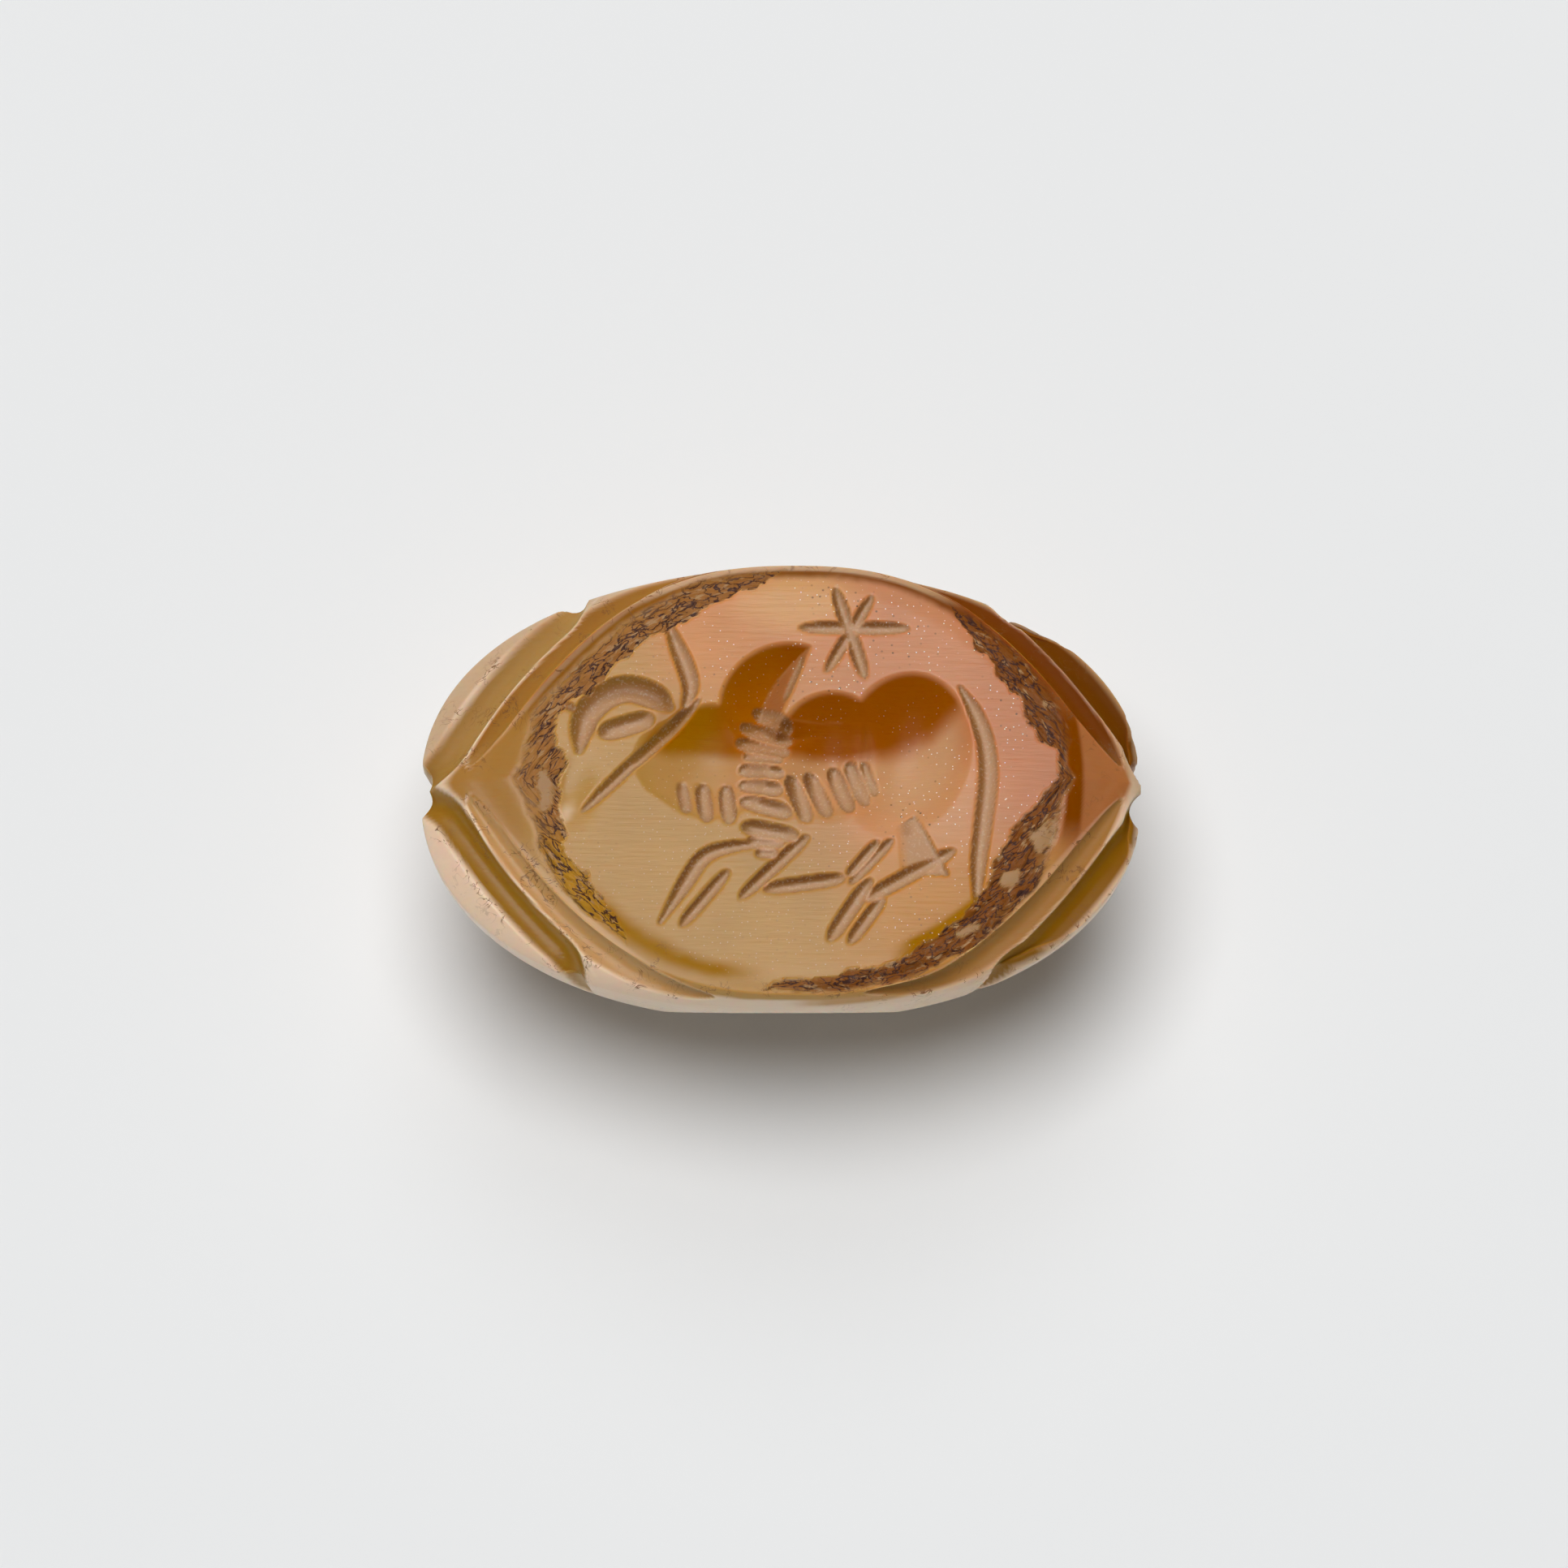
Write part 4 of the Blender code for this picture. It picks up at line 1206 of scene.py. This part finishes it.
# %% [markdown]
# The string hole is drilled last. A Boolean takes a long cylinder out of the skin, and the colours kept with
# the mesh stay with their points.

# %% The string hole
HOLE_SIDES = 96

seal = bpy.data.objects.new("carved_seal", mesh)
bpy.context.scene.collection.objects.link(seal)
bpy.ops.mesh.primitive_cylinder_add(
    vertices=HOLE_SIDES,
    radius=HOLE_DIAMETER / 2 * MM,
    depth=4 * HALF_WIDTH * MM,
    location=(0, 0, HOLE_HEIGHT * MM),
    rotation=(math.pi / 2, 0, 0),
)
drill = bpy.context.object
drilling = seal.modifiers.new("String hole", "BOOLEAN")
drilling.object = drill
drilling.solver = "MANIFOLD"
drilled = bpy.data.meshes.new_from_object(seal.evaluated_get(bpy.context.evaluated_depsgraph_get()))
seal.modifiers.clear()
seal.data = drilled
drilled.materials.clear()
bpy.data.objects.remove(drill)
bpy.data.meshes.remove(mesh)
print("triangles after drilling:", sum(len(p.vertices) - 2 for p in drilled.polygons))
print("kept with the mesh:", [a.name for a in drilled.attributes])

# %% [markdown]
# The points that the drill made have no colour of their own, so those on the hole's wall get one here.

# %% Colour of the hole's wall
BORE = (0.520, 0.345, 0.210)
SLIGHTLY_WIDER = 1.001

corners = np.empty(len(drilled.vertices) * 3)
drilled.vertices.foreach_get("co", corners)
off_axis = np.hypot(*(corners.reshape(-1, 3)[:, ::2] / MM - (0, HOLE_HEIGHT)).T)
in_bore = off_axis < SLIGHTLY_WIDER * HOLE_DIAMETER / 2
colours = np.empty(len(drilled.vertices) * 4)
drilled.attributes["stone_colour"].data.foreach_get("color", colours)
colours.reshape(-1, 4)[in_bore] = (*BORE, 1)
drilled.attributes["stone_colour"].data.foreach_set("color", colours)
print("corners round the hole:", in_bore.sum())

# %% [markdown]
# A material is a chain of nodes. These helpers each add one or two of them, so that the grain below can be
# written as sums: a kept number, a mix of two colours, a product, a step, and some kinds of noise.

# %% Helpers for the material
PER_MM = 1 / MM

chalcedony = bpy.data.materials.new("chalcedony")
chalcedony.use_nodes = True
tree = chalcedony.node_tree
shader = tree.nodes["Principled BSDF"]
add = node_maker(tree)


def kept(name):
    """A number that is kept with the mesh."""
    return add("ShaderNodeAttribute", {"attribute_name": name}).outputs["Fac"]


def blend(share, first, second):
    """Mix of two colours."""
    return add("ShaderNodeMix", {"data_type": "RGBA"}, i0=share, i6=first, i7=second).outputs[2]


def grey(value):
    """A number as a colour."""
    return (value, value, value, 1)


def maths(operation, *values):
    """Result of one operation on numbers."""
    numbered = {f"i{i}": value for i, value in enumerate(values)}
    return add("ShaderNodeMath", {"operation": operation}, **numbered).outputs[0]


def product(*factors):
    """Product of numbers."""
    return functools.reduce(lambda first, second: maths("MULTIPLY", first, second), factors)


def step(value, low, high):
    """0 to 1 as the value goes from low to high."""
    return add("ShaderNodeMapRange", Value=value, From_Min=low, From_Max=high).outputs[0]


def noise(where, scale, detail, distortion):
    """Noise read at some places, mostly near a half."""
    made = add("ShaderNodeTexNoise", Vector=where, Scale=scale, Detail=detail, Distortion=distortion)
    return made.outputs["Fac"]


def grain(size, detail=3.0, distortion=0.0):
    """Noise with bumps about one size in mm across."""
    return noise(place, PER_MM / size, detail, distortion)


def wrinkles(size, detail, distortion):
    """Noise that is stretched along the band of crust."""
    return noise(band, 1 / size, detail, distortion)


def lines(value, half_width):
    """1 where a noise crosses its middle value, fading to 0 a little to both sides: thin bent lines."""
    away = maths("ABSOLUTE", maths("SUBTRACT", value, 0.5))
    return step(away, half_width, 0.3 * half_width)


def dots(spacing, radius, share, shift):
    """Small round dots seen from above, 1 inside and 0 outside, in a share of cells a spacing in mm wide."""
    moved = add("ShaderNodeVectorMath", {"operation": "ADD"}, i0=place, i1=(shift * MM, 0, 0)).outputs[0]
    cells = add("ShaderNodeTexVoronoi", {"voronoi_dimensions": "2D"}, Vector=moved, Scale=PER_MM / spacing)
    chosen = add("ShaderNodeSeparateXYZ", i0=cells.outputs["Color"]).outputs[0]
    chosen = step(chosen, 1 - share, 1 - 0.8 * share)
    return product(chosen, step(cells.outputs["Distance"], radius / spacing, 0.6 * radius / spacing))


place = add("ShaderNodeTexCoord").outputs["Object"]
band = add("ShaderNodeAttribute", {"attribute_name": "band_place"}).outputs["Vector"]
print("nodes for places:", [node.name for node in (place.node, band.node)])

# %% [markdown]
# The colour starts from the one kept with the mesh. Fine grain comes from noise: brown pits on the polished
# face, faint streaks, speckles in the cuts, short dirty lines on the rim, and wrinkles of earth in the crust,
# which read the band places. Small white dots on the polished face are painted glints.

# %% Grain of the stone
CRUST_DARK = (0.060, 0.024, 0.018, 1)
CRUST_OCHRE = (0.420, 0.240, 0.110, 1)
SPECKLE = (0.85, 0.72, 0.58, 1)
GLINT = (1.0, 0.97, 0.93, 1)
PIT = (0.20, 0.09, 0.035, 1)
STREAK_TURN = 0.08
STREAK_SQUEEZE = (0.15, 1.5, 1)
STREAK_SIZE = 0.16
STREAK_CHANGE = 0.04

colour_here = add("ShaderNodeAttribute", {"attribute_name": "stone_colour"}).outputs["Color"]
crust_here, polished, frosted, dirty = (kept(name) for name in ("crusted", "polished", "frosted", "dirty"))

folds = wrinkles(0.19, detail=5, distortion=0.6)
fissures = product(crust_here, lines(folds, 0.05))
flecks = product(crust_here, step(wrinkles(0.15, detail=4, distortion=0.3), 0.56, 0.66))
squiggles = product(dirty, lines(grain(0.5, detail=4, distortion=1.2), 0.02), step(grain(0.9), 0.5, 0.56))
# white dots of painted glint on the polished face
glints = product(dots(0.22, 0.02, share=0.6, shift=0), polished, step(grain(2.0), 0.44, 0.5))
pits = product(dots(0.26, 0.04, share=0.5, shift=50), polished, step(grain(1.8, detail=2), 0.48, 0.56))
pits = product(pits, step(grain(0.3), 0.3, 0.6))
speckled = product(frosted, 0.15, step(grain(0.08, detail=1), 0.55, 0.70))
squeezed = add("ShaderNodeMapping", Vector=place, Rotation=(0, 0, STREAK_TURN), Scale=STREAK_SQUEEZE)
streaks = noise(squeezed.outputs[0], PER_MM / STREAK_SIZE, detail=4, distortion=0)
streaked = add("ShaderNodeMapRange", Value=streaks, To_Min=1 - STREAK_CHANGE, To_Max=1 + STREAK_CHANGE)
scaled = add("ShaderNodeVectorMath", {"operation": "SCALE"}, i0=colour_here, Scale=streaked.outputs[0])
shaded = scaled.outputs[0]
for share, tint in (
    (speckled, SPECKLE), (pits, PIT), (flecks, CRUST_OCHRE), (fissures, CRUST_DARK), (squiggles, PIT),
    (glints, GLINT),
):
    shaded = blend(share, shaded, tint)
print("nodes for the colour:", len(tree.nodes))

# %% [markdown]
# Light goes a little way into the stone and comes out redder, so the shader has a subsurface part, which is
# weaker in the earth of the crust. The polished face is the smoothest and the cuts are the roughest. A bump
# makes the crust's wrinkles, the streaks and the frost in the cuts catch the light.

# %% Chalcedony
FULL_SHEEN = 0.21
ROUGHNESS = {"polished": 0.28, "cut": 0.42, "crust": 0.36}
SOFTNESS = 0.9
LESS_SOFT_IN_CRUST = 0.7
SOFT_REACH = 0.35
SOFT_REACH_BY_COLOUR = (1.0, 0.45, 0.2)
BUMP_DEPTH = 0.12
STREAK_BUMP = 0.08
FROST_BUMP = 0.03
REFRACTION = 1.54

rough_here = blend(frosted, grey(ROUGHNESS["polished"]), grey(ROUGHNESS["cut"]))
rough_here = blend(crust_here, rough_here, grey(ROUGHNESS["crust"]))

height = product(crust_here, folds)
for part, amount in ((streaks, STREAK_BUMP), (product(frosted, grain(0.08)), FROST_BUMP)):
    height = maths("MULTIPLY_ADD", part, amount, height)
bump = add("ShaderNodeBump", Height=height, Strength=1.0, Distance=BUMP_DEPTH * MM)

for socket, value in (
    ("Base Color", shaded),
    ("Roughness", rough_here),
    ("Subsurface Weight", maths("MULTIPLY_ADD", crust_here, -LESS_SOFT_IN_CRUST, SOFTNESS)),
    ("Specular IOR Level", product(kept("sheen"), FULL_SHEEN)),
    ("Normal", bump.outputs[0]),
):
    tree.links.new(value, shader.inputs[socket])
shader.inputs["IOR"].default_value = REFRACTION
shader.inputs["Subsurface Radius"].default_value = SOFT_REACH_BY_COLOUR
shader.inputs["Subsurface Scale"].default_value = SOFT_REACH * MM
seal.data.materials.append(chalcedony)
print("nodes in the material:", len(tree.nodes))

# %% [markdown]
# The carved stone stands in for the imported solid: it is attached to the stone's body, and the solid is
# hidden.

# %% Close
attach(seal, "root")
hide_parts("seal_stone")
